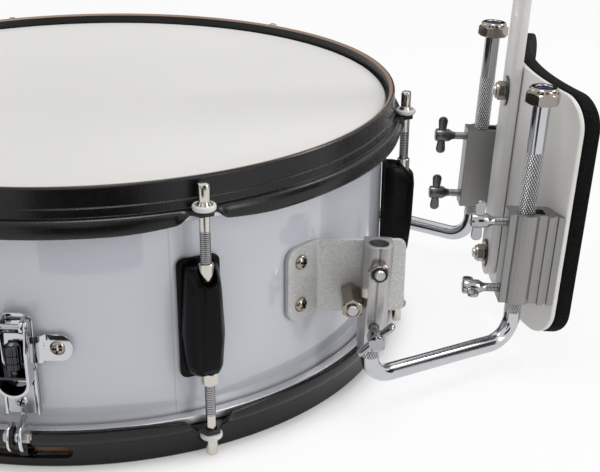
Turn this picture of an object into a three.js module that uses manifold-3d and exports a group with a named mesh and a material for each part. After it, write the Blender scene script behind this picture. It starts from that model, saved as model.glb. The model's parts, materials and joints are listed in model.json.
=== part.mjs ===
// Marching snare drum with its shoulder carrier, in millimetres, +Z up.
// Origin: centre of the batter head's playing surface. +X points at the player, +Y to the player's right.
import * as THREE from 'three';
import { mergeVertices } from 'three/addons/utils/BufferGeometryUtils.js';
import Module from 'manifold-3d';

const wasm = await Module();
wasm.setup();

// Driving dimensions

const degree = Math.PI / 180;
const gap = 0.3;        // clearance between pieces that touch
const overrun = 4;      // how far a cutting tool reaches past what it cuts
const roundSides = 60;  // facets round the drum
const roundShare = 0.98;  // how far a round end may take up its half width

const shell = { radius: 178, wall: 7, depth: 140, outerBevel: 1.8, ventRadius: 5, ventAzimuth: 144 * degree };
const hoop = {
  lipRise: 6.5,                                    // lip above the bearing edge
  lipInner: 3, lipOuter: 7, collar: 6.4, root: 8,  // out from the shell's side
  lipDepth: 3.8, lipFlat: 1.8, lipEase: 1.1, thickness: 2.2, ledgeDrop: 15, bendRadius: 3,
  earReach: 9.5, skirtReach: 6.2, earHalfAngle: 2.4 * degree, blendAngle: 7 * degree,
  gateHalfWidth: 23, gateHeight: 7.4, gateRise: 5.4,
};
const hoopFoldShare = 0.35;     // part of the blend in which the ear folds down
const hoopScallopShare = 0.3;   // skirt left at the end of each scallop
const head = { film: 0.5, collarGap: 0.5, fleshWidth: 5.4, fleshHeight: 4.5, shoulder: 1.6 };
const lugs = { count: 6, firstAzimuth: -66 * degree, rodOut: 13 };
const lug = {
  height: 66.5, width: 23, plate: 2.4, plateCorner: 4, depth: 21,
  bodyHeight: 61, bodyWidth: 21.6, nutRadius: 3.7, nutReach: 7, cutRadius: 4.4, cutHeight: 9, boreRadius: 3,
};
// Lug body from its foot to its crown: height, width, front facet width and depth, as shares
const lugBodyShares = [
  [0, 0.74, 0.28, 0.62], [0.08, 0.9, 0.36, 0.86], [0.38, 1, 0.42, 1],
  [0.92, 0.84, 0.3, 0.82], [1, 0.76, 0.26, 0.58],
];
const lugFlankShare = 0.4;  // depth of the upright sides
const lugRidgeShare = 0.8;  // depth at which the front facet starts
const rod = {
  radius: 2.7, headTop: 2.5, headWidth: 5.8, headHeight: 8.6, headTaper: 0.5,
  flareRadius: 3.8, flareHeight: 2.2, reach: 44, holeRadius: 3.2,
  washerRadius: 5.9, washerHeight: 3.4, washerWall: 1.5, washerFloor: 1.5,
};
const strainer = {
  azimuth: -95 * degree, offset: 3.2, sheet: 1.8, baseHalf: 8.7, baseFoot: 32, baseTop: 88, topCorner: 5,
  earMid: 68, earHeight: 15, earReach: 27, joggleInner: 11.5, joggleOuter: 14.5, earScrew: 19.3,
  guideHeight: 26, guideRise: 2.3, guideWall: 1.4,
  pinOut: 6.7, pinHeight: 84, pinRadius: 1.5, pinHole: 1.8, cheekHalf: 6.4, cheekWall: 1.8, cheekRadius: 3.4,
};
const lever = {
  half: 8.5, length: 36, wall: 1.4, back: 4.2, depth: 11, eyeRadius: 3.9, shoulderDrop: 5, rimCut: 6,
};
const slide = { length: 17, foot: 33, screwHeight: 40, tongueHalf: 1.1, tongueDip: 2.5 };
const knob = {
  radius: 4.2, length: 13, drop: 9, out: 1.8, notches: 14, notch: 0.5,
  stemRadius: 1.5, stemReach: 20, deck: 25.5,
};
const cordClamp = {
  reach: 15, height: 27, discRadius: 7.5, disc: 1.6, discGap: 2.4, hubRadius: 4.2,
  boltRadius: 1.8, boltEnd: 2.6, boltEndRadius: 3,
};
// Snare tape: places out from the shell's side, and their heights
const tape = {
  width: 4, thickness: 1, outside: 13.2, turnHeight: 11.5, gateOut: 8.5, gateHeight: 8.9, lipOut: 4.2,
  lipHeight: 7.3, underOut: -2, runHeight: 3.4, innerOut: -22, throwTop: 27, buttTop: 46,
};
const wires = {
  count: 20, pitch: 2, radius: 0.85, inset: 27, plateLength: 16, plateMargin: 1.65, plate: 1, plateTop: 5.3,
  sides: 4, overlap: 4, corner: 2,
};
const butt = {
  half: 16, foot: 29, top: 63, sheet: 2, corner: 5, screwOut: 10.5, screwHeight: 55,
  blockHalf: 12, blockFoot: 33, blockTop: 47, barHalf: 12, barFoot: 35, barTop: 45, bar: 2, barCorner: 2.5,
  barScrewOut: 7.5, screwRadius: 3, shankRadius: 1.5,
};
const screw = { radius: 4.2, height: 2.6, crownShare: 0.55, topShare: 0.62 };
const bracket = {
  bendIn: 6.4,  // from the flange's tangent line to the plate's outer face
  sheet: 2.6, foot: 58, top: 100, flangeReach: 13.5, flangeCorner: 7,
  besideLug: 2, lugClearance: 3.4,  // counted from the first lug; the left bracket mirrors the right one
  plateLength: 45.2, plateCorner: 9, screwIn: 9.5, screwInset: 8.6,
  slotSweep: 24 * degree, slotSpare: 3 * degree,
};
const carrier = { lean: 2.6 * degree, pivotIn: 31.2, pivotZ: 90 };
const bolt = { radius: 3, hole: 3.3, headHeight: 4, flats: 10, nutHeight: 6, nutCrown: 0.7, end: 2 };
const tube = {
  half: 7.4, depth: 16.8, boreRadius: 5.3, boreIn: 9.2, top: 12, foot: -53.2, frontHalf: 4.6, chamfer: 4,
  grooveHalf: 0.7, groove: 0.7, stepIn: 3, step: 0.6, screwDrop: 34, screwHole: 2.9,
};
const stop = { drop: 20.9, flats: 10, length: 22.5, end: 2, studRadius: 3 };
const jRod = {
  radius: 5, top: -9, arm: -68.5, legOut: 88.3, legSide: 78, legTop: 83.5, bendRadius: 15,
  nutFlats: 17, nutHeight: 8, nutCrown: 1.25,
};
const clamp = {
  top: 12.5, foot: -42, front: 10.5, inner: 8.5, outer: 8.2, waist: 6.6, bulge: 9.3, back: 26,
  ribStart: 11.4, ribEnd: 14.6, ribRise: 8.4, flange: 3.7, slotBack: 10.2, slotHalf: 4, screwInset: 6.5,
};
const wing = {
  shankRadius: 2.5, shank: 13.6, hubRadius: 4.3, hub: 12.5, neck: 3, ease: 0.8,
  reach: 12.8, paddleWidth: 7, paddleThick: 2.4, paddleCorner: 2.9, tubeShank: 8,
};
const spine = {
  front: 85, thickness: 5, half: 15, foot: -60.7, top: 262, topCorner: 4.9,
  slotFoot: 105, slotTop: 250, slotHalf: 3.4,
  boltHeights: [60.2, -47], washerRadius: 9, washer: 1.2, headRadius: 6.5, headHeight: 2,
};
const belly = {
  radius: 205, plate: 2.5, half: 86, foot: -66, top: 79, corner: 18, pad: 8, padRise: 1,
  arcSteps: 20, boltClear: 0.7,
};
const yoke = {
  sheet: 4, foot: 150, crossFoot: 300, crossTop: 345, crossHalf: 108, corner: 12, fillet: 10,
  boltHeights: [176, 214], bandSide: 84, bandScrews: [312, 333], studRadius: 2.5, studHole: 2.9,
  capRadius: 5, capHeight: 3,
};
const band = {
  thick: 4, width: 42, foot: 299, shoulder: 375, radius: 78, backEnd: 312, endEase: 1.8, arcSteps: 7,
};
const pad = { thick: 12, width: 50, foot: 350, backEnd: 318, end: 9 };
// Shoulder cushion: its section from edge to edge, and how it fills out behind each end
const padSectionShares = [
  [-0.95, 0], [0.95, 0], [1, 0.22], [0.97, 0.62], [0.82, 0.87], [0.4, 1], [-0.4, 1], [-0.82, 0.87],
  [-0.97, 0.62], [-1, 0.22],
];
const padEndShares = [[0, 0.4], [0.35, 0.78], [1, 1]];

const drumHeight = shell.depth + 2 * hoop.lipRise;
const shellTop = hoop.lipRise + shell.depth;
const playingHeight = shellTop + gap + head.film;
const ledgeTop = drumHeight - hoop.ledgeDrop;

// Radii that follow the shell
const lipInner = shell.radius + hoop.lipInner;
const lipOuter = shell.radius + hoop.lipOuter;
const collarOuter = shell.radius + hoop.collar;
const hoopRoot = shell.radius + hoop.root;
const rodCircle = shell.radius + lugs.rodOut;
const tapeOutside = shell.radius + tape.outside;

// Bracket: the flange lies against the shell, and both outer faces meet on the bend line
const flangeFace = shell.radius + gap + bracket.sheet;
const lugStep = (2 * Math.PI) / lugs.count;
const flangeFromLug = (lug.width / 2 + bracket.lugClearance + bracket.flangeReach) / flangeFace;
const flangeAzimuth = lugs.firstAzimuth + bracket.besideLug * lugStep - flangeFromLug;
const bracketPlane = flangeFace * Math.sin(flangeAzimuth) - bracket.bendIn;
const bendX = (flangeFace - bracketPlane * Math.sin(flangeAzimuth)) / Math.cos(flangeAzimuth);
const pivotX = bendX + carrier.pivotIn;

// Finishes, one new material for each mesh
const looks = {
  wrap: { color: 0xe9eaec, roughness: 0.18, metalness: 0 },
  film: { color: 0xf2f2ef, roughness: 0.7, metalness: 0 },
  clearFilm: { color: 0xdfe2e4, roughness: 0.35, metalness: 0 },
  blackHoop: { color: 0x141415, roughness: 0.35, metalness: 0.3 },
  blackLug: { color: 0x121213, roughness: 0.42, metalness: 0.1 },
  chrome: { color: 0xc9cacc, roughness: 0.12, metalness: 1 },
  nickel: { color: 0xb9b2a6, roughness: 0.22, metalness: 1 },
  sparkle: { color: 0xbfc0be, roughness: 0.5, metalness: 0.6 },
  satin: { color: 0xa9a8a5, roughness: 0.4, metalness: 0.9 },
  whitePaint: { color: 0xe4e2de, roughness: 0.4, metalness: 0 },
  foam: { color: 0x151515, roughness: 0.95, metalness: 0 },
  tape: { color: 0x161616, roughness: 0.6, metalness: 0 },
};

// Solids: joining, cutting and tidying

function cleaned(geometry) {
  const bare = new THREE.BufferGeometry();
  bare.setAttribute('position', geometry.getAttribute('position').clone());
  bare.setIndex(geometry.index ? geometry.index.clone() : null);
  const merged = mergeVertices(bare);
  const corners = merged.index.array;
  const kept = [];
  for (let i = 0; i < corners.length; i += 3) {
    const [a, b, c] = [corners[i], corners[i + 1], corners[i + 2]];
    if (a !== b && b !== c && c !== a) kept.push(a, b, c);
  }
  merged.setIndex(kept);
  if (volume(merged) < 0) merged.setIndex(kept.reverse());
  return merged;
}

function volume(geometry) {
  const place = geometry.getAttribute('position');
  const corners = geometry.index.array;
  const [a, b, c] = [new THREE.Vector3(), new THREE.Vector3(), new THREE.Vector3()];
  let total = 0;
  for (let i = 0; i < corners.length; i += 3) {
    a.fromBufferAttribute(place, corners[i]);
    b.fromBufferAttribute(place, corners[i + 1]);
    c.fromBufferAttribute(place, corners[i + 2]);
    total += a.dot(b.cross(c)) / 6;
  }
  return total;
}

function toSolid(geometry) {
  const bare = cleaned(geometry);
  return new wasm.Manifold(new wasm.Mesh({
    numProp: 3,
    vertProperties: new Float32Array(bare.getAttribute('position').array),
    triVerts: new Uint32Array(bare.index.array),
  }));
}

function fromSolid(solid) {
  const mesh = solid.getMesh();
  const geometry = new THREE.BufferGeometry();
  geometry.setAttribute('position', new THREE.BufferAttribute(new Float32Array(mesh.vertProperties), 3));
  geometry.setIndex(Array.from(mesh.triVerts));
  return geometry;
}

function join(first, ...others) {
  return fromSolid(others.reduce((sum, other) => sum.add(toSolid(other)), toSolid(first)));
}

function cut(base, ...tools) {
  return fromSolid(tools.reduce((rest, tool) => rest.subtract(toSolid(tool)), toSolid(base)));
}

function common(first, second) {
  return fromSolid(toSolid(first).intersect(toSolid(second)));
}

// Basic forms

function revolve(profile, sides, closed = false) {
  const points = profile.map(([radius, height]) => new THREE.Vector2(radius, height));
  if (closed) points.push(points[0].clone());
  return cleaned(new THREE.LatheGeometry(points, sides).rotateX(Math.PI / 2));
}

function post(radius, from, to, sides = 12) {
  return revolve([[0, from], [radius, from], [radius, to], [0, to]], sides);
}

// Hexagonal prism whose flats face +X and -X
function hexPost(flats, from, to) {
  return post(flats / Math.sqrt(3), from, to, 6);
}

function domed(radius, height, from, sides = 10) {
  const rim = from + height * (1 - screw.crownShare);
  const top = from + height;
  return revolve([[0, from], [radius, from], [radius, rim], [radius * screw.topShare, top], [0, top]], sides);
}

function slab(outline, from, to, curveSegments = 4) {
  const options = { depth: to - from, bevelEnabled: false, curveSegments };
  return new THREE.ExtrudeGeometry(outline, options).translate(0, 0, from);
}

// Outline through corners [x, y, radius], with round corners as arcs
function outlineOf(corners, Kind = THREE.Shape) {
  const outline = new Kind();
  const count = corners.length;
  corners.forEach(([x, y, radius = 0], i) => {
    const corner = new THREE.Vector2(x, y);
    if (radius === 0) {
      if (i === 0) outline.moveTo(x, y);
      else outline.lineTo(x, y);
      return;
    }
    const before = corners[(i + count - 1) % count];
    const after = corners[(i + 1) % count];
    const toBefore = new THREE.Vector2(before[0], before[1]).sub(corner).normalize();
    const toAfter = new THREE.Vector2(after[0], after[1]).sub(corner).normalize();
    const half = Math.acos(THREE.MathUtils.clamp(toBefore.dot(toAfter), -1, 1)) / 2;
    const middle = toBefore.clone().add(toAfter).normalize();
    const centre = corner.clone().addScaledVector(middle, radius / Math.sin(half));
    const start = corner.clone().addScaledVector(toBefore, radius / Math.tan(half)).sub(centre);
    const end = corner.clone().addScaledVector(toAfter, radius / Math.tan(half)).sub(centre);
    outline.absarc(centre.x, centre.y, radius, start.angle(), end.angle(), toBefore.cross(toAfter) > 0);
  });
  outline.closePath();
  return outline;
}

function box(halfX, halfY, corner = 0) {
  return outlineOf([
    [-halfX, -halfY, corner], [halfX, -halfY, corner], [halfX, halfY, corner], [-halfX, halfY, corner],
  ]);
}

// Skin over rings of equal point count, closed round on itself or capped at both ends
function loft(rings, loop = false) {
  const count = rings[0].length;
  const positions = rings.flat().flatMap((point) => [point.x, point.y, point.z]);
  const index = [];
  const spans = loop ? rings.length : rings.length - 1;
  for (let i = 0; i < spans; i += 1) {
    const next = (i + 1) % rings.length;
    for (let j = 0; j < count; j += 1) {
      const k = (j + 1) % count;
      const [a, b, c, d] = [i * count + j, i * count + k, next * count + j, next * count + k];
      index.push(a, b, d, a, d, c);
    }
  }
  const lastRing = (rings.length - 1) * count;
  for (let j = 1; !loop && j < count - 1; j += 1) {
    index.push(0, j + 1, j, lastRing, lastRing + j, lastRing + j + 1);
  }
  const geometry = new THREE.BufferGeometry();
  geometry.setAttribute('position', new THREE.BufferAttribute(new Float32Array(positions), 3));
  geometry.setIndex(index);
  return cleaned(geometry);
}

// Points along straight runs between corners, with each inner corner bent to a radius
function bentPath(corners, radius, steps) {
  const path = [corners[0]];
  for (let i = 1; i < corners.length - 1; i += 1) {
    const toBefore = corners[i - 1].clone().sub(corners[i]).normalize();
    const toAfter = corners[i + 1].clone().sub(corners[i]).normalize();
    const half = toBefore.angleTo(toAfter) / 2;
    const middle = toBefore.clone().add(toAfter).normalize();
    const centre = corners[i].clone().addScaledVector(middle, radius / Math.sin(half));
    const start = corners[i].clone().addScaledVector(toBefore, radius / Math.tan(half)).sub(centre);
    const axis = toAfter.clone().cross(toBefore).normalize();
    for (let j = 0; j <= steps; j += 1) {
      path.push(start.clone().applyAxisAngle(axis, (j / steps) * (Math.PI - 2 * half)).add(centre));
    }
  }
  return [...path, corners[corners.length - 1]];
}

// Section [across, up] points carried along a path; across starts level and stays square to the path
function sweep(path, section) {
  let across = null;
  const rings = path.map((point, i) => {
    const ahead = path[Math.min(i + 1, path.length - 1)].clone().sub(point).normalize();
    const behind = point.clone().sub(path[Math.max(i - 1, 0)]).normalize();
    const along = ahead.clone().add(behind).normalize();
    if (across === null) across = new THREE.Vector3(0, 1, 0);
    across.addScaledVector(along, -across.dot(along)).normalize();
    const up = along.clone().cross(across);
    const stretch = 1 / Math.max(along.dot(i === 0 ? ahead : behind), 0.5);
    return section.map(([s, t]) => point.clone().addScaledVector(across, s).addScaledVector(up, t * stretch));
  });
  return loft(rings);
}

function circle(radius, sides) {
  return Array.from({ length: sides }, (_, i) => {
    const angle = (i / sides) * 2 * Math.PI;
    return [radius * Math.cos(angle), radius * Math.sin(angle)];
  });
}

// Turns a form's own x and y onto two named directions, and its origin onto a place
function seat(geometry, xAxis, yAxis, origin = [0, 0, 0]) {
  const x = new THREE.Vector3(...xAxis);
  const y = new THREE.Vector3(...yAxis);
  const basis = new THREE.Matrix4().makeBasis(x, y, x.clone().cross(y));
  return geometry.clone().applyMatrix4(basis.setPosition(...origin));
}

const alongX = (geometry, origin) => seat(geometry, [0, 1, 0], [0, 0, 1], origin);
const alongMinusX = (geometry, origin) => seat(geometry, [0, -1, 0], [0, 0, 1], origin);
const alongY = (geometry, origin) => seat(geometry, [0, 0, 1], [1, 0, 0], origin);
const alongMinusY = (geometry, origin) => seat(geometry, [1, 0, 0], [0, 0, 1], origin);

function piece(parent, name, geometry, look) {
  const mesh = new THREE.Mesh(cleaned(geometry), new THREE.MeshStandardMaterial(look));
  mesh.name = name;
  parent.add(mesh);
  return mesh;
}

function turned(parent, azimuth) {
  const group = new THREE.Group();
  group.rotation.z = azimuth;
  parent.add(group);
  return group;
}

// Drum: shell, heads and hoops

function makeShell() {
  const inner = shell.radius - shell.wall;
  const crown = shell.radius - shell.outerBevel;
  const slope = shell.wall - shell.outerBevel;
  const foot = hoop.lipRise;
  const body = revolve([
    [inner, foot + slope], [crown, foot], [shell.radius, foot + shell.outerBevel],
    [shell.radius, shellTop - shell.outerBevel], [crown, shellTop], [inner, shellTop - slope],
  ], roundSides, true);
  const drill = post(shell.ventRadius, 0, shell.wall + 2 * overrun);
  const vent = alongX(drill, [inner - overrun, 0, drumHeight / 2]);
  return cut(body, vent.rotateZ(shell.ventAzimuth));
}

// Film stretched over the bearing edge, with the flesh hoop that the hoop's ledge presses on
function makeHead() {
  const under = shellTop + gap;
  const collar = shell.radius + head.collarGap;
  const fleshTop = ledgeTop - hoop.thickness - gap;
  const fleshFoot = fleshTop - head.fleshHeight;
  const rim = collar + head.film + head.fleshWidth;
  const side = collar + head.film;
  const top = under + head.film;
  return revolve([
    [0, under], [collar, under], [collar, fleshFoot], [rim, fleshFoot], [rim, fleshTop], [side, fleshTop],
    [side, top - head.shoulder], [side - head.shoulder, top], [0, top],
  ], roundSides);
}

// Hoop section at an angle from the nearest rod: the flange lies flat as an ear and folds down beside it
function hoopSection(fromRod) {
  const past = THREE.MathUtils.clamp((fromRod - hoop.earHalfAngle) / hoop.blendAngle, 0, 1);
  const fold = (Math.PI / 2) * THREE.MathUtils.smoothstep(past, 0, hoopFoldShare);
  const [sine, cosine] = [Math.sin(fold), Math.cos(fold)];
  const growth = THREE.MathUtils.clamp((past - hoopFoldShare) / (1 - hoopFoldShare), 0, 1);
  const scallop = hoopScallopShare + (1 - hoopScallopShare) * Math.sqrt(growth * (2 - growth));
  const folding = THREE.MathUtils.clamp(past / hoopFoldShare, 0, 1);
  const reach = THREE.MathUtils.lerp(hoop.earReach, hoop.skirtReach * scallop, folding);
  const centre = ledgeTop - hoop.bendRadius;
  const inside = hoop.bendRadius - hoop.thickness;
  const bend = (radius) => [hoopRoot + radius * sine, centre + radius * cosine];
  const [bendOut, bendUp] = bend(hoop.bendRadius);
  const [insideOut, insideUp] = bend(inside);
  const collarInner = collarOuter - hoop.thickness;
  const flatStart = (lipOuter + lipInner - hoop.lipFlat) / 2;
  return [
    [lipInner, drumHeight - hoop.lipDepth], [lipInner, drumHeight - hoop.lipEase],
    [flatStart, drumHeight], [flatStart + hoop.lipFlat, drumHeight], [lipOuter, drumHeight - hoop.lipEase],
    [collarOuter, drumHeight - hoop.lipDepth], [collarOuter, ledgeTop], [hoopRoot, ledgeTop],
    [bendOut, bendUp],
    [bendOut + reach * cosine, bendUp - reach * sine], [insideOut + reach * cosine, insideUp - reach * sine],
    [hoopRoot, centre + inside], [collarInner, centre + inside],
  ];
}

function hoopAngles() {
  const sector = lugStep / 2;
  const blendShares = [0, hoopFoldShare, 0.6, 1];
  const longSteps = 2;
  const fold = hoop.earHalfAngle + hoop.blendAngle;
  const half = [];
  blendShares.forEach((share) => half.push(hoop.earHalfAngle + share * hoop.blendAngle));
  for (let i = 1; i <= longSteps; i += 1) half.push(fold + (i / longSteps) * (sector - fold));
  const offsets = [...half.slice(0, -1).reverse().map((angle) => -angle), ...half];
  return Array.from({ length: lugs.count }, (_, i) => {
    const rodAngle = lugs.firstAzimuth + i * lugStep;
    return offsets.map((offset) => ({ angle: rodAngle + offset, fromRod: Math.abs(offset) }));
  }).flat();
}

function makeHoop() {
  const rings = hoopAngles().map(({ angle, fromRod }) => hoopSection(fromRod).map(
    ([radius, height]) => new THREE.Vector3(radius * Math.cos(angle), radius * Math.sin(angle), height),
  ));
  const holes = Array.from({ length: lugs.count }, (_, i) => {
    const hole = post(rod.holeRadius, ledgeTop - hoop.thickness - overrun, ledgeTop + overrun, 12);
    return hole.translate(rodCircle, 0, 0).rotateZ(lugs.firstAzimuth + i * lugStep);
  });
  return cut(loft(rings, true), ...holes);
}

function flipped(geometry) {
  return geometry.rotateX(Math.PI).translate(0, 0, drumHeight);
}

// Slots in the snare-side hoop that let the snare tapes through
function cutGates(geometry) {
  const height = hoop.gateHeight / 2;
  const slot = box(hoop.gateHalfWidth, height, height);
  const inner = lipInner - overrun;
  const gate = alongX(slab(slot, 0, lipOuter + overrun - inner), [inner, 0, hoop.gateRise + height]);
  return cut(
    geometry,
    gate.clone().rotateZ(strainer.azimuth),
    gate.clone().rotateZ(strainer.azimuth + Math.PI),
  );
}

// The batter hoop turned over, so that its ears still meet the rods
function addSnareHoop(parent) {
  const turnedOver = flipped(makeHoop()).rotateZ(2 * lugs.firstAzimuth);
  piece(parent, 'snare_hoop', cutGates(turnedOver), looks.blackHoop);
}

// Lugs and tension rods

function makeLug() {
  const back = shell.radius + gap;
  const mid = drumHeight / 2;
  const rounded = box(lug.width / 2, lug.height / 2, lug.plateCorner);
  const plate = alongX(slab(rounded, 0, lug.plate, 1), [back, 0, mid]);
  const foot = mid - lug.bodyHeight / 2;
  const rings = lugBodyShares.map(([rise, width, facet, depth]) => {
    const height = foot + rise * lug.bodyHeight;
    const half = (width * lug.bodyWidth) / 2;
    const front = (facet * lug.bodyWidth) / 2;
    const out = depth * (lug.depth - lug.plate);
    const [flank, ridge, between] = [out * lugFlankShare, out * lugRidgeShare, (half + front) / 2];
    const section = [
      [0, -half], [flank, -half], [ridge, -between], [out, -front],
      [out, front], [ridge, between], [flank, half], [0, half],
    ];
    return section.map(([x, y]) => new THREE.Vector3(back + lug.plate / 2 + x, y, height));
  });
  const top = foot + lug.bodyHeight;
  const recess = top - lug.cutHeight;
  const onRod = (geometry) => geometry.translate(rodCircle, 0, 0);
  const arch = onRod(post(lug.cutRadius, recess, top + overrun));
  const opening = slab(box(lug.depth / 2, lug.cutRadius), recess, top + overrun);
  const mouth = onRod(opening.translate(lug.depth / 2, 0, 0));
  const upperNut = onRod(post(lug.nutRadius, recess - overrun, top + gap, 12));
  const lowerNut = onRod(hexPost(2 * lug.nutRadius, foot - lug.nutReach, foot + overrun));
  const bore = onRod(post(lug.boreRadius, foot - lug.nutReach - overrun, top + overrun, 12));
  return cut(join(cut(join(loft(rings), plate), arch, mouth), upperNut, lowerNut), bore);
}

// Key head, flare, nylon cup washer and shank of a tension rod, as one turned piece on its own axis
function makeTensionRod() {
  const seatHeight = ledgeTop + gap;
  const rim = seatHeight + rod.washerHeight;
  const floor = seatHeight + rod.washerFloor;
  const flareTop = floor + rod.flareHeight;
  const headTop = drumHeight - rod.headTop;
  const tip = headTop - rod.reach - rod.headHeight;
  const cupInner = rod.washerRadius - rod.washerWall;
  const body = revolve([
    [0, tip], [rod.radius, tip], [rod.radius, seatHeight], [cupInner, seatHeight],
    [rod.washerRadius, rim - rod.washerWall], [rod.washerRadius, rim], [cupInner, rim], [cupInner, floor],
    [rod.flareRadius, floor], [rod.radius, flareTop], [0, flareTop],
  ], 8);
  const diagonal = rod.headWidth / Math.SQRT2;
  const key = revolve([
    [0, floor], [diagonal, floor], [diagonal, headTop - rod.headTaper],
    [diagonal - rod.headTaper, headTop], [0, headTop],
  ], 4).rotateZ(Math.PI / 4);
  return join(body, key);
}

function addLugsAndRods(drum) {
  for (let i = 0; i < lugs.count; i += 1) {
    const station = turned(drum, lugs.firstAzimuth + i * lugStep);
    piece(station, `lug_${i + 1}`, makeLug(), looks.blackLug);
    const upper = piece(station, `batter_rod_${i + 1}`, makeTensionRod(), looks.nickel);
    upper.position.x = rodCircle;
    const lower = piece(station, `snare_rod_${i + 1}`, flipped(makeTensionRod()), looks.nickel);
    lower.position.x = rodCircle;
  }
}

// Throw-off strainer, built with +X out from the shell, +Y along it and +Z up

const strainerBack = shell.radius + strainer.offset;
const strainerFace = strainerBack + strainer.sheet;
const pinOut = strainerFace + strainer.pinOut;
const clampOut = strainerFace + cordClamp.reach;

function makeStrainerBase() {
  const half = strainer.baseHalf;
  const plate = alongX(slab(outlineOf([
    [-half, strainer.baseFoot], [half, strainer.baseFoot],
    [half, strainer.baseTop, strainer.topCorner], [-half, strainer.baseTop, strainer.topCorner],
  ]), 0, strainer.sheet, 1), [strainerBack, 0, 0]);
  const seatOut = shell.radius + gap;
  const halfPlan = [
    [seatOut + strainer.sheet, strainer.earReach], [seatOut + strainer.sheet, strainer.joggleOuter],
    [strainerFace, strainer.joggleInner],
  ];
  const plan = [
    ...halfPlan, ...halfPlan.map(([x, y]) => [x, -y]).reverse(),
    ...halfPlan.map(([x, y]) => [x - strainer.sheet, -y]),
    ...halfPlan.map(([x, y]) => [x - strainer.sheet, y]).reverse(),
  ];
  const strap = slab(
    outlineOf(plan), strainer.earMid - strainer.earHeight / 2, strainer.earMid + strainer.earHeight / 2,
  );
  const rounded = box(strainer.earReach, strainer.earHeight / 2, strainer.earHeight / 2);
  const tool = slab(rounded, shell.radius - overrun, strainerFace + overrun, 3);
  const roundEnds = alongX(tool, [0, 0, strainer.earMid]);
  const screwHead = domed(screw.radius, screw.height, seatOut + strainer.sheet / 2);
  const screws = [-1, 1].map((side) => alongX(screwHead, [0, side * strainer.earScrew, strainer.earMid]));
  const guideMid = strainer.baseFoot + strainer.guideHeight / 2;
  const guide = slab(
    box(strainer.guideWall / 2, strainer.guideHeight / 2), strainerBack, strainerFace + strainer.guideRise,
  );
  const guides = [-1, 1].map((side) => alongX(guide, [0, side * (half - strainer.guideWall / 2), guideMid]));
  const [cheekBack, cheekFront] = [strainerFace - strainer.sheet / 2, pinOut + strainer.cheekRadius];
  const [cheekFoot, cheekTop] = [-1, 1].map((end) => strainer.pinHeight + end * strainer.cheekRadius);
  const cheekCorner = strainer.cheekRadius * roundShare;
  const cheek = alongMinusY(slab(outlineOf([
    [cheekBack, cheekFoot], [cheekFront, cheekFoot, cheekCorner], [cheekFront, cheekTop, cheekCorner],
    [cheekBack, cheekTop],
  ]), 0, strainer.cheekWall, 2));
  const cheeks = [strainer.cheekHalf, strainer.cheekWall - strainer.cheekHalf].map(
    (place) => cheek.clone().translate(0, place, 0),
  );
  const eye = alongY(post(strainer.pinHole, -overrun - lever.half, lever.half + overrun, 12), [
    pinOut, 0, strainer.pinHeight,
  ]);
  return cut(join(common(strap, roundEnds), plate, ...screws, ...guides, ...cheeks), eye);
}

function makeStrainerPin() {
  const half = lever.half + lever.wall / 2;
  const cap = domed(strainer.pinHole + gap, lever.wall, half - gap);
  return alongY(join(post(strainer.pinRadius, -half, half, 10), cap), [pinOut, 0, strainer.pinHeight]);
}

// Channel with a rounded lower end, open outwards; its own origin is the pin
function makeLever() {
  const trough = (half, foot, top) => outlineOf([
    [-half, foot, half * roundShare], [half, foot, half * roundShare], [half, top], [-half, top],
  ]);
  const tray = trough(lever.half, -lever.length, lever.eyeRadius);
  const inner = lever.half - lever.wall;
  const pocket = trough(inner, lever.wall - lever.length, lever.eyeRadius + overrun);
  const body = alongX(slab(tray, -lever.back, lever.depth - lever.back, 3));
  const hollow = alongX(slab(pocket, lever.wall - lever.back, lever.depth, 3));
  const backGap = alongX(slab(
    box(inner, lever.shoulderDrop), -lever.back - overrun, lever.depth,
  ));
  // What is left beside the pin is rounded to the eye radius and the rim slopes down to it
  const clear = lever.half + overrun;
  const eye = lever.eyeRadius;
  const front = lever.depth - lever.back;
  const profile = alongMinusY(slab(outlineOf([
    [-lever.back, -lever.length - overrun], [front, -lever.length - overrun],
    [front, -lever.rimCut - lever.shoulderDrop, eye], [eye, 0, eye], [eye, eye, eye * roundShare],
    [-eye, eye, eye * roundShare], [-eye, -lever.shoulderDrop], [-lever.back, -lever.shoulderDrop - gap],
  ]), -clear, clear, 2));
  const deckReach = knob.out + knob.radius + lever.back - lever.wall;
  const deck = alongMinusX(slab(box(inner + lever.wall / 2, lever.wall / 2), 0, deckReach), [
    knob.out + knob.radius - lever.wall / 2, 0, -knob.deck,
  ]);
  const stemTool = post(knob.stemRadius + gap, -knob.deck - overrun, -knob.deck + overrun, 10);
  const pinTool = alongY(post(strainer.pinHole, -clear, clear, 12));
  const channel = join(common(cut(body, hollow, backGap), profile), deck);
  return cut(channel, stemTool.translate(knob.out, 0, 0), pinTool);
}

// Knurled tension wheel on its stem, lying along the lever
function makeKnob() {
  const steps = 2 * knob.notches;
  const rim = Array.from({ length: steps }, (_, i) => {
    const radius = knob.radius - (i % 2) * knob.notch;
    return [radius * Math.cos((i / steps) * 2 * Math.PI), radius * Math.sin((i / steps) * 2 * Math.PI)];
  });
  const wheel = slab(outlineOf(rim), -knob.drop - knob.length, -knob.drop);
  const stem = post(knob.stemRadius, -knob.drop - knob.stemReach, -knob.drop + knob.notch, 10);
  return join(wheel, stem).translate(knob.out, 0, 0);
}

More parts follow.
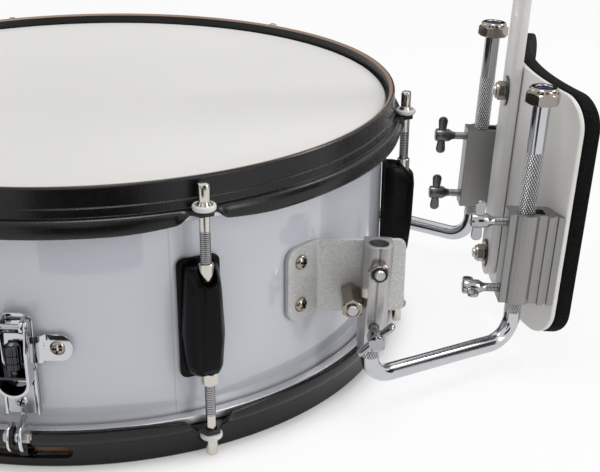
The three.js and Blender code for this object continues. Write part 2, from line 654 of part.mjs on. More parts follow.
function makeSlide() {
  const half = strainer.baseHalf - strainer.guideWall - gap;
  const back = strainerFace + gap;
  const top = slide.foot + slide.length;
  const outline = outlineOf([[-half, slide.foot], [half, slide.foot], [half, top], [-half, top]]);
  const plate = alongX(slab(outline, 0, strainer.sheet), [back, 0, 0]);
  const headForm = domed(screw.radius, screw.height, back + strainer.sheet / 2);
  const head = alongX(headForm, [0, 0, slide.screwHeight]);
  const tongue = alongMinusY(slab(outlineOf([
    [back, slide.foot], [back + strainer.sheet, slide.foot - strainer.sheet],
    [clampOut, cordClamp.height + cordClamp.boltRadius + gap],
    [clampOut + cordClamp.hubRadius, cordClamp.height + slide.tongueDip],
    [clampOut, slide.foot + strainer.sheet], [back, slide.foot + 2 * strainer.sheet],
  ]), -slide.tongueHalf, slide.tongueHalf));
  return join(plate, head, tongue);
}

// Two washers on a bolt that grip the tape's end
function makeCordClamp() {
  const outer = cordClamp.discGap + cordClamp.disc;
  const discs = [-1, 1].map((side) => {
    const [low, high] = [side * cordClamp.discGap, side * outer].sort((a, b) => a - b);
    return post(cordClamp.discRadius, low, high, 20);
  });
  const shaft = post(cordClamp.boltRadius, -outer - overrun / 2, outer + overrun / 2, 10);
  const nuts = [-1, 1].map((side) => {
    const [low, high] = [outer - cordClamp.disc / 2, outer + cordClamp.boltEnd].map((end) => side * end)
      .sort((a, b) => a - b);
    return post(cordClamp.boltEndRadius, low, high, 6);
  });
  return alongMinusY(join(shaft, ...discs, ...nuts), [clampOut, 0, cordClamp.height]);
}

// Tape from its clamp down outside the hoop, in through the gate and along under the snare head
function makeTape(top) {
  const places = [
    [tape.outside, top], [tape.outside, tape.turnHeight], [tape.gateOut, tape.gateHeight],
    [tape.lipOut, tape.lipHeight], [tape.underOut, tape.runHeight], [tape.innerOut, tape.runHeight],
  ];
  const [across, up] = [tape.width / 2, tape.thickness / 2];
  const section = [[-across, -up], [across, -up], [across, up], [-across, up]];
  return sweep(places.map(([out, z]) => new THREE.Vector3(shell.radius + out, 0, z)), section);
}

function makeWires() {
  const mid = wires.plateTop - wires.radius;
  const half = shell.radius - wires.inset;
  const plateHalf = ((wires.count - 1) * wires.pitch) / 2 + wires.radius + wires.plateMargin;
  const ends = [-1, 1].map((side) => {
    const place = side * (half + wires.plateLength / 2 - wires.overlap);
    const plate = slab(box(wires.plateLength / 2, plateHalf, wires.corner), 0, wires.plate, 1);
    return plate.translate(place, 0, wires.plateTop - wires.plate);
  });
  const strands = Array.from({ length: wires.count }, (_, i) => alongX(
    post(wires.radius, -half, half, wires.sides), [0, (i - (wires.count - 1) / 2) * wires.pitch, mid],
  ));
  return join(...ends, ...strands);
}

function makeButtPlate() {
  const back = shell.radius + gap;
  const front = tapeOutside - tape.thickness / 2 - gap;
  const plate = alongX(slab(outlineOf([
    [-butt.half, butt.foot, butt.corner], [butt.half, butt.foot, butt.corner],
    [butt.half, butt.top, butt.corner], [-butt.half, butt.top, butt.corner],
  ]), 0, butt.sheet, 1), [back, 0, 0]);
  const block = alongX(slab(outlineOf([
    [-butt.blockHalf, butt.blockFoot], [butt.blockHalf, butt.blockFoot],
    [butt.blockHalf, butt.blockTop, butt.barCorner], [-butt.blockHalf, butt.blockTop, butt.barCorner],
  ]), 0, front - back, 1), [back, 0, 0]);
  const screws = [-1, 1].map((side) => alongX(
    domed(screw.radius, screw.height, 0), [back + butt.sheet / 2, side * butt.screwOut, butt.screwHeight],
  ));
  const capOut = tapeOutside + tape.thickness / 2 + 2 * gap + butt.bar;
  const barMid = (butt.barFoot + butt.barTop) / 2;
  const cap = domed(butt.screwRadius, screw.height, capOut);
  const shank = post(butt.shankRadius, front - butt.bar / 2, capOut + screw.height / 2, 8);
  const clamps = [-1, 1].flatMap((side) => [cap, shank].map(
    (form) => alongX(form, [0, side * butt.barScrewOut, barMid]),
  ));
  return join(plate, block, ...screws, ...clamps);
}

function makeButtBar() {
  const out = tapeOutside + tape.thickness / 2 + gap;
  const mid = (butt.barFoot + butt.barTop) / 2;
  const bar = alongX(slab(
    box(butt.barHalf, (butt.barTop - butt.barFoot) / 2, butt.barCorner), 0, butt.bar, 1,
  ), [out, 0, mid]);
  const holes = [-1, 1].map((side) => alongX(
    post(butt.shankRadius + gap, -overrun, butt.bar + overrun, 8), [out, side * butt.barScrewOut, mid],
  ));
  return cut(bar, ...holes);
}

function addSnares(drum) {
  const station = turned(drum, strainer.azimuth);
  piece(station, 'strainer_base', makeStrainerBase(), looks.chrome);
  piece(station, 'strainer_pin', makeStrainerPin(), looks.nickel);
  const hung = new THREE.Group();
  hung.position.set(pinOut, 0, strainer.pinHeight);
  station.add(hung);
  piece(hung, 'strainer_lever', makeLever(), looks.chrome);
  piece(hung, 'strainer_knob', makeKnob(), looks.chrome);
  piece(station, 'strainer_slide', makeSlide(), looks.chrome);
  piece(station, 'cord_clamp', makeCordClamp(), looks.chrome);
  piece(station, 'snare_tape_throw', makeTape(tape.throwTop), looks.tape);
  piece(station, 'snare_wires', makeWires(), looks.chrome);
  const opposite = turned(drum, strainer.azimuth + Math.PI);
  piece(opposite, 'snare_tape_butt', makeTape(tape.buttTop), looks.tape);
  piece(opposite, 'butt_plate', makeButtPlate(), looks.chrome);
  piece(opposite, 'butt_bar', makeButtBar(), looks.chrome);
}

// Carrier brackets on the shell. side is -1 on the player's left (-Y) and 1 on the right

// Locking nut: hexagon with its nylon collar
function nyloc(flats, height, crown, from) {
  const top = from + height;
  const collar = revolve([
    [0, top - crown], [flats / 2 - gap, top - crown], [flats / 2 - gap, top],
    [flats / 2 - 2 * crown, top + crown], [0, top + crown],
  ], 10);
  return join(hexPost(flats, from, top), collar);
}

// Stop centre seen from the pivot while the tube's side rests on the stop's flat
function stopPlace() {
  const across = -tube.half - gap - stop.flats / 2;
  return new THREE.Vector2(across, -stop.drop);
}

function makeBracket(side) {
  const angle = flangeAzimuth;
  const bendReach = bendX * Math.sin(angle) - bracketPlane * Math.cos(angle);
  const plateEnd = bendX + bracket.plateLength;
  const spare = bracket.sheet / 2;
  const mid = (bracket.foot + bracket.top) / 2;
  const half = (bracket.top - bracket.foot) / 2;
  // Both sketches are drawn for the left side, x to the right as seen from outside
  const flange = slab(outlineOf([
    [-bracket.flangeReach, -half, bracket.flangeCorner], [bendReach + spare, -half],
    [bendReach + spare, half], [-bracket.flangeReach, half, bracket.flangeCorner],
  ]), flangeFace - bracket.sheet, flangeFace, 2);
  const plate = slab(outlineOf([
    [bendX - spare, -half], [plateEnd, -half, bracket.plateCorner],
    [plateEnd, half, bracket.plateCorner], [bendX - spare, half],
  ]), bracketPlane - bracket.sheet, bracketPlane, 2);
  const alongFlange = [Math.sin(angle), Math.cos(angle), 0];
  const onFlange = (geometry) => seat(geometry, alongFlange, [0, 0, 1], [0, 0, mid]);
  const screws = [-1, 1].map((end) => {
    const [along, height] = [bracket.screwIn - bracket.flangeReach, end * (half - bracket.screwInset)];
    const head = domed(screw.radius, screw.height, flangeFace - bracket.sheet / 2);
    return onFlange(head.translate(along, height, 0));
  });
  const plateLeft = seat(plate, [1, 0, 0], [0, 0, 1], [0, 0, mid]);
  const pivot = alongMinusY(post(bolt.hole, 0, 2 * bracketPlane), [pivotX, 0, carrier.pivotZ]);
  const place = stopPlace().rotateAround(new THREE.Vector2(), -carrier.lean);
  const slot = new THREE.Shape();
  const [reach, start] = [place.length(), place.angle()];
  const [from, to] = [start - bracket.slotSpare, start + bracket.slotSweep];
  const width = stop.studRadius + gap;
  slot.absarc(0, 0, reach + width, from, to, false);
  slot.absarc(reach * Math.cos(to), reach * Math.sin(to), width, to, to + Math.PI, false);
  slot.absarc(0, 0, reach - width, to, from, true);
  slot.absarc(reach * Math.cos(from), reach * Math.sin(from), width, from + Math.PI, from, false);
  const slotTool = alongMinusY(slab(slot, 0, 2 * bracketPlane, 3), [pivotX, 0, carrier.pivotZ]);
  const left = cut(join(onFlange(flange), plateLeft, ...screws), pivot, slotTool);
  return side < 0 ? left : left.scale(1, -1, 1);
}

// Bolt from behind the bracket through the tube, with a locking nut in front
function makePivotBolt(side) {
  const behind = bracketPlane - bracket.sheet - gap;
  const front = bracketPlane + gap + tube.depth + gap;
  const shank = post(bolt.radius, behind - bolt.headHeight / 2, front + bolt.nutHeight + bolt.end, 12);
  const headPost = hexPost(bolt.flats, behind - bolt.headHeight, behind);
  const whole = join(shank, headPost, nyloc(bolt.flats, bolt.nutHeight, bolt.nutCrown, front));
  return side < 0 ? alongMinusY(whole) : alongY(whole);
}

function makeStop(side) {
  const face = bracketPlane + gap;
  const hex = hexPost(stop.flats, face, face + stop.length);
  const behind = bracketPlane - bracket.sheet - gap;
  const stud = post(stop.studRadius, behind - bolt.headHeight / 2, face + stop.length + stop.end, 12);
  const headPost = hexPost(bolt.flats, behind - bolt.headHeight, behind);
  const whole = join(stud, hex, headPost);
  const place = stopPlace();
  const origin = [place.x, 0, place.y];
  return side < 0 ? alongMinusY(whole, origin) : alongY(whole.rotateZ(Math.PI / 2), origin);
}

// Drum-side clamp tube: a bored extrusion with a flat grooved front
function makeTube(side) {
  const steps = tube.stepIn;
  const halfOutline = [
    [tube.half, 0], [tube.half, steps - tube.step], [tube.half - tube.step, steps],
    [tube.half, steps + tube.step], [tube.half, tube.depth - tube.chamfer],
    [tube.frontHalf, tube.depth], [tube.grooveHalf, tube.depth], [0, tube.depth - tube.groove],
  ];
  const otherHalf = halfOutline.slice(0, -1).reverse().map(([u, b]) => [-u, b]);
  const outline = outlineOf([...halfOutline, ...otherHalf]);
  const bore = new THREE.Path();
  bore.absarc(0, tube.boreIn, tube.boreRadius, 0, 2 * Math.PI, true);
  outline.holes.push(bore);
  const body = slab(outline, tube.foot, tube.top, 8);
  const pivotHole = alongY(post(bolt.hole, -overrun, tube.depth + overrun, 12));
  const screwTool = post(tube.screwHole, tube.boreIn, tube.depth + overrun, 12);
  const screwHole = alongY(screwTool, [0, 0, -tube.screwDrop]);
  const whole = cut(body, pivotHole, screwHole).translate(0, bracketPlane + gap, 0);
  return side < 0 ? whole.scale(1, -1, 1) : whole;
}

// Wing screw on its own axis: tip at zero, head outwards along +Z, paddles along +X and -X
function makeWing(shank) {
  const neckEnd = shank + wing.neck;
  const end = shank + wing.hub;
  const turnedPart = revolve([
    [0, 0], [wing.shankRadius, 0], [wing.shankRadius, shank], [wing.hubRadius, neckEnd],
    [wing.hubRadius, end - wing.ease], [wing.hubRadius - wing.ease, end], [0, end],
  ], 12);
  const mid = (neckEnd + end) / 2;
  const paddle = slab(
    box(wing.reach, wing.paddleWidth / 2, wing.paddleCorner), -wing.paddleThick / 2, wing.paddleThick / 2, 2,
  );
  return join(turnedPart, seat(paddle, [1, 0, 0], [0, 0, 1], [0, 0, mid]));
}

// Bent carrier rod with the locking nut screwed on its long leg
function makeJRod(side) {
  const near = side * (bracketPlane + gap + tube.boreIn);
  const far = side * jRod.legSide;
  const corners = [
    [0, near, jRod.top], [0, near, jRod.arm], [jRod.legOut, far, jRod.arm], [jRod.legOut, far, jRod.legTop],
  ].map((place) => new THREE.Vector3(...place));
  const bent = sweep(bentPath(corners, jRod.bendRadius, 4), circle(jRod.radius, 12));
  const nut = nyloc(jRod.nutFlats, jRod.nutHeight, jRod.nutCrown, jRod.legTop - jRod.nutHeight);
  return join(bent, nut.translate(jRod.legOut, far, 0));
}

// Carrier: everything behind the rods, drawn in the leaned frame of the pivot

const bellyCentre = spine.front + spine.thickness + gap + belly.radius;

function plateTool(radius, from, to) {
  return post(radius, from, to, 2 * roundSides).translate(bellyCentre, 0, 0);
}

// Ribbed extrusion that holds the rod's long leg; the outline is drawn about the rod's axis
function makeRodClamp(side) {
  const bulgeStart = Math.asin(clamp.waist / clamp.bulge);
  const bulgeOut = clamp.bulge * Math.cos(bulgeStart);
  // The outer flange meets the plate's front where the clamp is widest
  const plateX = bellyCentre - Math.sqrt((belly.radius + gap) ** 2 - (jRod.legSide + clamp.outer) ** 2);
  const flangeStart = plateX - jRod.legOut - clamp.flange;
  const outline = new THREE.Shape();
  outline.moveTo(-clamp.front, -clamp.inner);
  outline.lineTo(clamp.back, -clamp.inner);
  outline.lineTo(clamp.back, clamp.outer);
  outline.lineTo(flangeStart, clamp.outer);
  outline.lineTo(flangeStart, clamp.waist);
  outline.lineTo(clamp.ribEnd, clamp.waist);
  outline.lineTo(clamp.ribEnd, clamp.ribRise);
  outline.lineTo(clamp.ribStart, clamp.ribRise);
  outline.lineTo(clamp.ribStart, clamp.waist);
  outline.lineTo(bulgeOut, clamp.waist);
  outline.absarc(0, 0, clamp.bulge, bulgeStart, Math.PI - bulgeStart, false);
  outline.lineTo(-clamp.front, clamp.waist);
  outline.closePath();
  const mouth = Math.asin(clamp.slotHalf / tube.boreRadius);
  const hole = new THREE.Path();
  hole.absarc(0, 0, tube.boreRadius, mouth, 2 * Math.PI - mouth, false);
  hole.lineTo(clamp.slotBack, -clamp.slotHalf);
  hole.lineTo(clamp.slotBack, clamp.slotHalf);
  hole.closePath();
  outline.holes.push(hole);
  const body = slab(outline, clamp.foot, clamp.top, 6);
  const placed = body.translate(jRod.legOut, jRod.legSide, 0);
  const holes = clampScrewHeights().map((height) => alongMinusX(
    post(tube.screwHole, tube.boreRadius / 2, clamp.front + overrun, 12), [jRod.legOut, jRod.legSide, height],
  ));
  const tool = plateTool(belly.radius + gap, clamp.foot - overrun, clamp.top + overrun);
  const whole = cut(placed, tool, ...holes);
  return side < 0 ? cleaned(whole.scale(1, -1, 1)) : whole;
}

function clampScrewHeights() {
  return [clamp.top - clamp.screwInset, clamp.foot + clamp.screwInset];
}

// Bolt through a sheet stack: dome head behind, washer and locking nut in front, all along -X from the head
function throughBolt(headBack, washerFront, height) {
  const length = headBack - washerFront;
  const head = domed(spine.headRadius, spine.headHeight, 0).scale(1, 1, -1);
  const shank = post(bolt.radius, -spine.headHeight / 2, length + bolt.nutHeight + bolt.end, 10);
  const washer = post(spine.washerRadius, length - spine.washer, length, 14);
  const nut = nyloc(bolt.flats, bolt.nutHeight, bolt.nutCrown, length - spine.washer / 2);
  return alongMinusX(join(shank, head, washer, nut), [headBack, 0, height]);
}

function makeSpine() {
  const corner = spine.half * roundShare;
  const outline = outlineOf([
    [-spine.half, spine.foot, corner], [spine.half, spine.foot, corner],
    [spine.half, spine.top, spine.topCorner], [-spine.half, spine.top, spine.topCorner],
  ]);
  const slotMid = (spine.slotFoot + spine.slotTop) / 2;
  const slot = box(spine.slotHalf, (spine.slotTop - spine.slotFoot) / 2, spine.slotHalf * roundShare);
  const bar = alongX(slab(outline, 0, spine.thickness, 3), [spine.front, 0, 0]);
  const window = alongX(slab(slot, -overrun, spine.thickness + overrun, 2), [spine.front, 0, slotMid]);
  const headBack = spine.front + spine.thickness + gap + belly.plate + gap;
  const bolts = spine.boltHeights.map((height) => throughBolt(headBack, spine.front - spine.washer, height));
  return join(cut(bar, window), ...bolts);
}

// Curved sheet between two radii about the player's side, cut to an outline drawn as [y, z]
function curvedSheet(outer, thickness, outline, foot, top) {
  const reach = Math.asin(Math.min((belly.half + overrun) / (outer - thickness), 1));
  const arc = new THREE.Shape();
  arc.absarc(0, 0, outer, Math.PI - reach, Math.PI + reach, false);
  arc.absarc(0, 0, outer - thickness, Math.PI + reach, Math.PI - reach, true);
  arc.closePath();
  const sheet = slab(arc, foot, top, belly.arcSteps / 2).translate(bellyCentre, 0, 0);
  const pressed = alongX(slab(outline, 0, belly.radius, 4), [spine.front, 0, 0]);
  return common(sheet, pressed);
}

function bellyOutline(top) {
  const { half, foot, corner } = belly;
  return outlineOf([[-half, foot, corner], [half, foot, corner], [half, top, corner], [-half, top, corner]]);
}

function makeBellyPlate() {
  const outline = bellyOutline(belly.top);
  const sheet = curvedSheet(belly.radius, belly.plate, outline, belly.foot - overrun, belly.top + overrun);
  const holes = spine.boltHeights.map((height) => alongX(
    post(bolt.hole, 0, belly.radius / 2, 12), [spine.front, 0, height],
  ));
  return cut(sheet, ...holes);
}

function makeBellyPad() {
  const top = belly.top + belly.padRise;
  const outline = bellyOutline(top);
  const front = belly.radius - belly.plate - gap;
  const sheet = curvedSheet(front, belly.pad, outline, belly.foot - overrun, top + overrun);
  const depth = spine.headHeight + gap + belly.boltClear;
  const start = belly.radius / 2;
  const dents = spine.boltHeights.map((height) => alongX(
    post(spine.headRadius + belly.boltClear, 0, start, 12),
    [spine.front + spine.thickness + 2 * gap + belly.plate + depth - start, 0, height],
  ));
  return cut(sheet, ...dents);
}

// Sliding T bar behind the slotted spine
function makeYokeBar() {
  const rightHalf = [
    [spine.half, yoke.foot, yoke.corner], [spine.half, yoke.crossFoot, yoke.fillet],
    [yoke.crossHalf, yoke.crossFoot, yoke.corner], [yoke.crossHalf, yoke.crossTop, yoke.corner],
  ];
  const outline = outlineOf([...rightHalf, ...rightHalf.map(([y, z, corner]) => [-y, z, corner]).reverse()]);
  const back = spine.front + spine.thickness + gap;
  const plate = alongX(slab(outline, 0, yoke.sheet, 2), [back, 0, 0]);
  const bolts = yoke.boltHeights.map((height) => throughBolt(
    back + yoke.sheet, spine.front - gap - spine.washer, height,
  ));
  const holes = bandStuds().map(([side, height]) => alongX(
    post(yoke.studHole, -overrun, yoke.sheet + overrun, 10), [back, side, height],
  ));
  return join(cut(plate, ...holes), ...bolts);
}

function bandStuds() {
  return [-1, 1].flatMap((side) => yoke.bandScrews.map((height) => [side * yoke.bandSide, height]));
}

const bandFront = spine.front + spine.thickness + gap + yoke.sheet + gap;

// Hook outline of a strip that runs up the chest, over the shoulder and down the back
function hookOutline(front, radius, thick, foot, backEnd, ends) {
  const centre = bandFront + band.radius;
  const hook = new THREE.Shape();
  hook.moveTo(front + ends, foot);
  hook.lineTo(front, foot + ends);
  hook.absarc(centre, band.shoulder, radius, Math.PI, 0, true);
  hook.lineTo(centre + radius, backEnd + ends);
  hook.lineTo(centre + radius - ends, backEnd);
  hook.lineTo(centre + radius - thick + ends, backEnd);
  hook.lineTo(centre + radius - thick, backEnd + ends);
  hook.absarc(centre, band.shoulder, radius - thick, 0, Math.PI, false);
  hook.lineTo(front + thick, foot + ends);
  hook.lineTo(front + thick - ends, foot);
  hook.closePath();
  return hook;
}

function makeBand(side) {
  const outline = hookOutline(bandFront, band.radius, band.thick, band.foot, band.backEnd, band.endEase);
  const place = side * yoke.bandSide;
  const strip = alongMinusY(slab(outline, -band.width / 2, band.width / 2, band.arcSteps), [0, place, 0]);
  const capBase = gap + yoke.sheet + gap;
  const stud = post(yoke.studRadius, -band.thick / 2, capBase + yoke.capHeight / 2, 10);
  const cap = domed(yoke.capRadius, yoke.capHeight, capBase, 12);
  const studs = yoke.bandScrews.flatMap((height) => [stud, cap].map(
    (form) => alongMinusX(form, [bandFront, place, height]),
  ));
  return join(strip, ...studs);
}

// Cushion under the band: full in the middle, thinning to its ends and rounded along its edges
function makeShoulderPad(side) {
  const centre = bandFront + band.radius;
  const reach = band.radius - band.thick - gap;
  const arcSteps = 2 * band.arcSteps;
  const stations = [];
  const addEnd = (x, height, up, inward) => padEndShares.forEach(([share, fullness]) => stations.push({
    x, z: height + share * pad.end * up, inX: inward, inZ: 0, fullness,
  }));
  addEnd(centre - reach, pad.foot, 1, 1);
  for (let i = 0; i <= arcSteps; i += 1) {
    const angle = Math.PI * (1 - i / arcSteps);
    const [cosine, sine] = [Math.cos(angle), Math.sin(angle)];
    stations.push({
      x: centre + reach * cosine, z: band.shoulder + reach * sine, inX: -cosine, inZ: -sine, fullness: 1,
    });
  }
  const firstBackStation = stations.length;
  addEnd(centre + reach, pad.backEnd, 1, -1);
  stations.push(...stations.splice(firstBackStation).reverse());
  return loft(stations.map(({ x, z, inX, inZ, fullness }) => padSectionShares.map(([across, depth]) => {
    const inwards = depth * fullness * pad.thick;
    const sideways = (across * pad.width) / 2;
    return new THREE.Vector3(x + inX * inwards, side * yoke.bandSide + sideways, z + inZ * inwards);
  })));
}

// Wing screws stand on named places; their own +Z points away from the rod
function addWing(parent, name, shank, origin, direction, paddleAlong) {
  const z = new THREE.Vector3(...direction);
  const x = new THREE.Vector3(...paddleAlong).normalize();
  const y = z.clone().cross(x);
  const geometry = seat(makeWing(shank), x.toArray(), y.toArray(), origin);
  piece(parent, name, geometry, looks.chrome);
}

function addCarrier(parent) {
  const leaned = new THREE.Group();
  leaned.position.set(pivotX, 0, carrier.pivotZ);
  leaned.rotation.y = carrier.lean;
  parent.add(leaned);
  for (const [side, name] of [[-1, 'left'], [1, 'right']]) {
    piece(parent, `bracket_${name}`, makeBracket(side), looks.sparkle);
    piece(leaned, `pivot_bolt_${name}`, makePivotBolt(side), looks.nickel);
    piece(leaned, `tilt_stop_${name}`, makeStop(side), looks.nickel);
    piece(leaned, `clamp_tube_${name}`, makeTube(side), looks.satin);
    piece(leaned, `j_rod_${name}`, makeJRod(side), looks.chrome);
    piece(leaned, `rod_clamp_${name}`, makeRodClamp(side), looks.satin);
    const tubeTip = [0, side * (bracketPlane + gap + tube.boreIn + jRod.radius + gap), -tube.screwDrop];
    addWing(leaned, `tube_screw_${name}`, wing.tubeShank, tubeTip, [0, side, 0], [1, 0, 1]);
    // The left lower screw was left crosswise, the others upright
    const [upper, lower] = clampScrewHeights().map((height) => [
      jRod.legOut - jRod.radius - gap, side * jRod.legSide, height,
    ]);
    const lowerAlong = side < 0 ? [0, 1, 0] : [0, 0, 1];
    addWing(leaned, `clamp_screw_upper_${name}`, wing.shank, upper, [-1, 0, 0], [0, 0, 1]);
    addWing(leaned, `clamp_screw_lower_${name}`, wing.shank, lower, [-1, 0, 0], lowerAlong);
    piece(leaned, `shoulder_band_${name}`, makeBand(side), looks.whitePaint);
    piece(leaned, `shoulder_pad_${name}`, makeShoulderPad(side), looks.foam);
  }
  piece(leaned, 'spine', makeSpine(), looks.whitePaint);
  piece(leaned, 'belly_plate', makeBellyPlate(), looks.whitePaint);
  piece(leaned, 'belly_pad', makeBellyPad(), looks.foam);
  piece(leaned, 'yoke_bar', makeYokeBar(), looks.whitePaint);
}

const drum = new THREE.Group();
drum.position.z = -playingHeight;
piece(drum, 'shell', makeShell(), looks.wrap);
piece(drum, 'batter_head', makeHead(), looks.film);
piece(drum, 'snare_head', flipped(makeHead()), looks.clearFilm);
piece(drum, 'batter_hoop', makeHoop(), looks.blackHoop);
addSnareHoop(drum);
addLugsAndRods(drum);
addSnares(drum);
addCarrier(drum);

export default drum;
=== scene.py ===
import json
from math import asin, atan2, cos, degrees, exp, hypot, pi, radians, sin, sqrt, tan

import bmesh
import bpy
from mathutils import Matrix, Vector


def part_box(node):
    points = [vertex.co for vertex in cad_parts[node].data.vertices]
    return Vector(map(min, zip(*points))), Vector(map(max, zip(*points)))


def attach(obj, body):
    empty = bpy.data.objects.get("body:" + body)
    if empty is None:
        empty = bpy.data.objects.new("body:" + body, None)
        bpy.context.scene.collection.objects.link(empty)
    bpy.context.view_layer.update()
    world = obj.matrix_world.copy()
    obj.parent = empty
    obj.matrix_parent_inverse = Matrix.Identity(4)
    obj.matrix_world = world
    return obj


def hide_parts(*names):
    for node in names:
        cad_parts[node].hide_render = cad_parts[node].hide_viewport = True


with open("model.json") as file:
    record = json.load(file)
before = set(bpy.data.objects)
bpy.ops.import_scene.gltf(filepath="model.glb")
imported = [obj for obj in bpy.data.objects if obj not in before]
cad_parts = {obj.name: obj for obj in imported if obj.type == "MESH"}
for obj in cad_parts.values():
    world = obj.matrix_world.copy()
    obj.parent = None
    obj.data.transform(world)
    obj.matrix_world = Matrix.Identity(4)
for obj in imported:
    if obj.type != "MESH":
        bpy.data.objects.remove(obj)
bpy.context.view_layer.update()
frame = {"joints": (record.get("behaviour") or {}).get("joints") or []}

# Marching snare drum on its shoulder carrier. Shapes are worked in millimetres and placed in metres.
mm = 0.001
drumHeight = 153  # from lip to lip
joints = {joint["name"]: joint for joint in frame["joints"]}
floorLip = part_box("snare_hoop")[0].z  # heights on the drum are counted from the lip it stands on
print("frame loaded")


class Values(dict):  # a dictionary whose entries can be read as names
    __getattr__ = dict.__getitem__


# Places

def axes(origin, x, y):  # puts a shape's own x and y along two directions
    x, y = Vector(x).normalized(), Vector(y).normalized()
    return Matrix.Translation(origin or (0, 0, 0)) @ Matrix((x, y, x.cross(y))).transposed().to_4x4()


def facingOut(*origin):  # own z out along +X, own y up
    return axes(origin, (0, 1, 0), (0, 0, 1))


def facingIn(*origin):
    return axes(origin, (0, -1, 0), (0, 0, 1))


def facingRight(*origin):  # own z along +Y, own y along +X
    return axes(origin, (0, 0, 1), (1, 0, 0))


def facingLeft(*origin):
    return axes(origin, (1, 0, 0), (0, 0, 1))


def moved(*offset):
    return Matrix.Translation(offset)


def turned(angle, axis="Z"):  # in degrees
    return Matrix.Rotation(radians(angle), 4, axis)


def onDrum(azimuth=0):  # x out from the drum's axis, z up from the lip
    return moved(0, 0, floorLip) @ turned(azimuth) @ Matrix.Scale(mm, 4)


def onCarrier():  # z up the leaning carrier, x away from the drum
    up = Vector(joints["rod_height"]["axis"])
    x = Vector((0, 1, 0)).cross(up)
    pivot = Vector(joints["tilt"]["pos_m"])
    pivot.y = 0
    return axes(pivot, x, (0, 1, 0)) @ Matrix.Scale(mm, 4)


still, mirrored = Matrix.Identity(4), Matrix.Scale(-1, 4, (0, 1, 0))
flips = {"left": mirrored, "right": still, -1: mirrored, 1: still}  # parts are drawn for the right side, at +Y


# Shapes

def outline(corners, segments=6):  # flat face through [x, y, corner radius]
    bm = bmesh.new()
    verts = [bm.verts.new((corner[0], corner[1], 0)) for corner in corners]
    bm.faces.new(verts)
    for vert, corner in zip(verts, corners):
        if len(corner) > 2 and corner[2]:
            a, b = (edge.other_vert(vert).co - vert.co for edge in vert.link_edges)
            reach = corner[2] / tan(a.angle(b) / 2)
            bmesh.ops.bevel(bm, geom=[vert], affect="VERTICES", offset=reach, offset_type="OFFSET",
                            segments=segments, profile=0.5, material=-1)
    return bm


def soften(bm, width, segments=2, above=30):
    sharp = [edge for edge in bm.edges
             if len(edge.link_faces) == 2 and edge.calc_face_angle(0) > radians(above)]
    bmesh.ops.bevel(bm, geom=sharp, affect="EDGES", offset=width, offset_type="OFFSET",
                    segments=segments, profile=0.5, material=-1, clamp_overlap=True)
    return bm


def raised(bm, low, high):  # a flat face grown into a slab between two heights
    bmesh.ops.translate(bm, vec=(0, 0, low), verts=bm.verts)
    grown = bmesh.ops.extrude_face_region(bm, geom=list(bm.faces))
    top = [item for item in grown["geom"] if isinstance(item, bmesh.types.BMVert)]
    bmesh.ops.translate(bm, vec=(0, 0, high - low), verts=top)
    bmesh.ops.recalc_face_normals(bm, faces=bm.faces)
    return bm


def slab(corners, low, high, rim=0.0, segments=6):
    bm = raised(outline(corners, segments), low, high)
    return soften(bm, rim) if rim else bm


def panel(left, right, low, high, corner=0, topCorner=None):
    top = corner if topCorner is None else topCorner
    return [(left, low, corner), (right, low, corner), (right, high, top), (left, high, top)]


def roundRect(halfX, halfY, corner):
    return panel(-halfX, halfX, -halfY, halfY, corner)


def tab(start, end, half):  # square at its start, round at its end
    return [(start, -half), (end, -half, half * 0.97), (end, half, half * 0.97), (start, half)]


def sliced(bm, axis, values):  # adds edge loops where a flat shape will bend
    for value in values:
        point, normal = Vector(), Vector()
        point[axis], normal[axis] = value, 1
        bmesh.ops.bisect_plane(bm, geom=list(bm.verts) + list(bm.edges) + list(bm.faces),
                               plane_co=point, plane_no=normal, dist=0.0001)
    return bm


def steps(low, high, count):
    return [low + (high - low) * index / count for index in range(count + 1)]


def lathe(profile, sides=48):  # (radius, height) from the axis out and back
    bm = bmesh.new()
    verts = [bm.verts.new((radius, 0, height)) for radius, height in profile]
    edges = [bm.edges.new(pair) for pair in zip(verts, verts[1:])]
    return spun(bm, verts + edges, sides)


def latheRing(corners, sides, segments=3):  # closed section [radius, height, corner radius]
    bm = outline(corners, segments)
    bmesh.ops.delete(bm, geom=list(bm.faces), context="FACES_ONLY")
    bmesh.ops.rotate(bm, matrix=Matrix.Rotation(pi / 2, 3, "X"), verts=bm.verts)
    return spun(bm, list(bm.verts) + list(bm.edges), sides)


def spun(bm, geom, sides):
    bmesh.ops.spin(bm, geom=geom, cent=(0, 0, 0), axis=(0, 0, 1), angle=2 * pi, steps=sides, use_merge=True)
    bmesh.ops.remove_doubles(bm, verts=bm.verts, dist=0.001)
    bmesh.ops.recalc_face_normals(bm, faces=bm.faces)
    return bm


def post(radius, low, high, rim=0.0, sides=32):
    bm = bmesh.new()
    bmesh.ops.create_cone(bm, cap_ends=True, segments=sides, radius1=radius, radius2=radius, depth=high - low)
    bmesh.ops.translate(bm, vec=(0, 0, (low + high) / 2), verts=bm.verts)
    return soften(bm, rim) if rim else bm


def hexBar(flats, low, high, rim=0.35):
    return post(flats / sqrt(3), low, high, rim, 6)


def loft(rings, capped=True):  # skin over rings of points, bridged one to the next
    bm = bmesh.new()
    loops = []
    for ring in rings:
        verts = [bm.verts.new(point) for point in ring]
        loops.append([bm.edges.new((a, b)) for a, b in zip(verts, verts[1:] + verts[:1])])
    for below, above in zip(loops, loops[1:]):
        bmesh.ops.bridge_loops(bm, edges=below + above)
    if capped:
        for loop in (loops[0], loops[-1]):
            bmesh.ops.edgeloop_fill(bm, edges=loop)
    bmesh.ops.recalc_face_normals(bm, faces=bm.faces)
    return bm


def placed(bm, matrix):
    bmesh.ops.transform(bm, matrix=matrix, verts=bm.verts)
    if matrix.determinant() < 0:
        bmesh.ops.reverse_faces(bm, faces=bm.faces)
    return bm


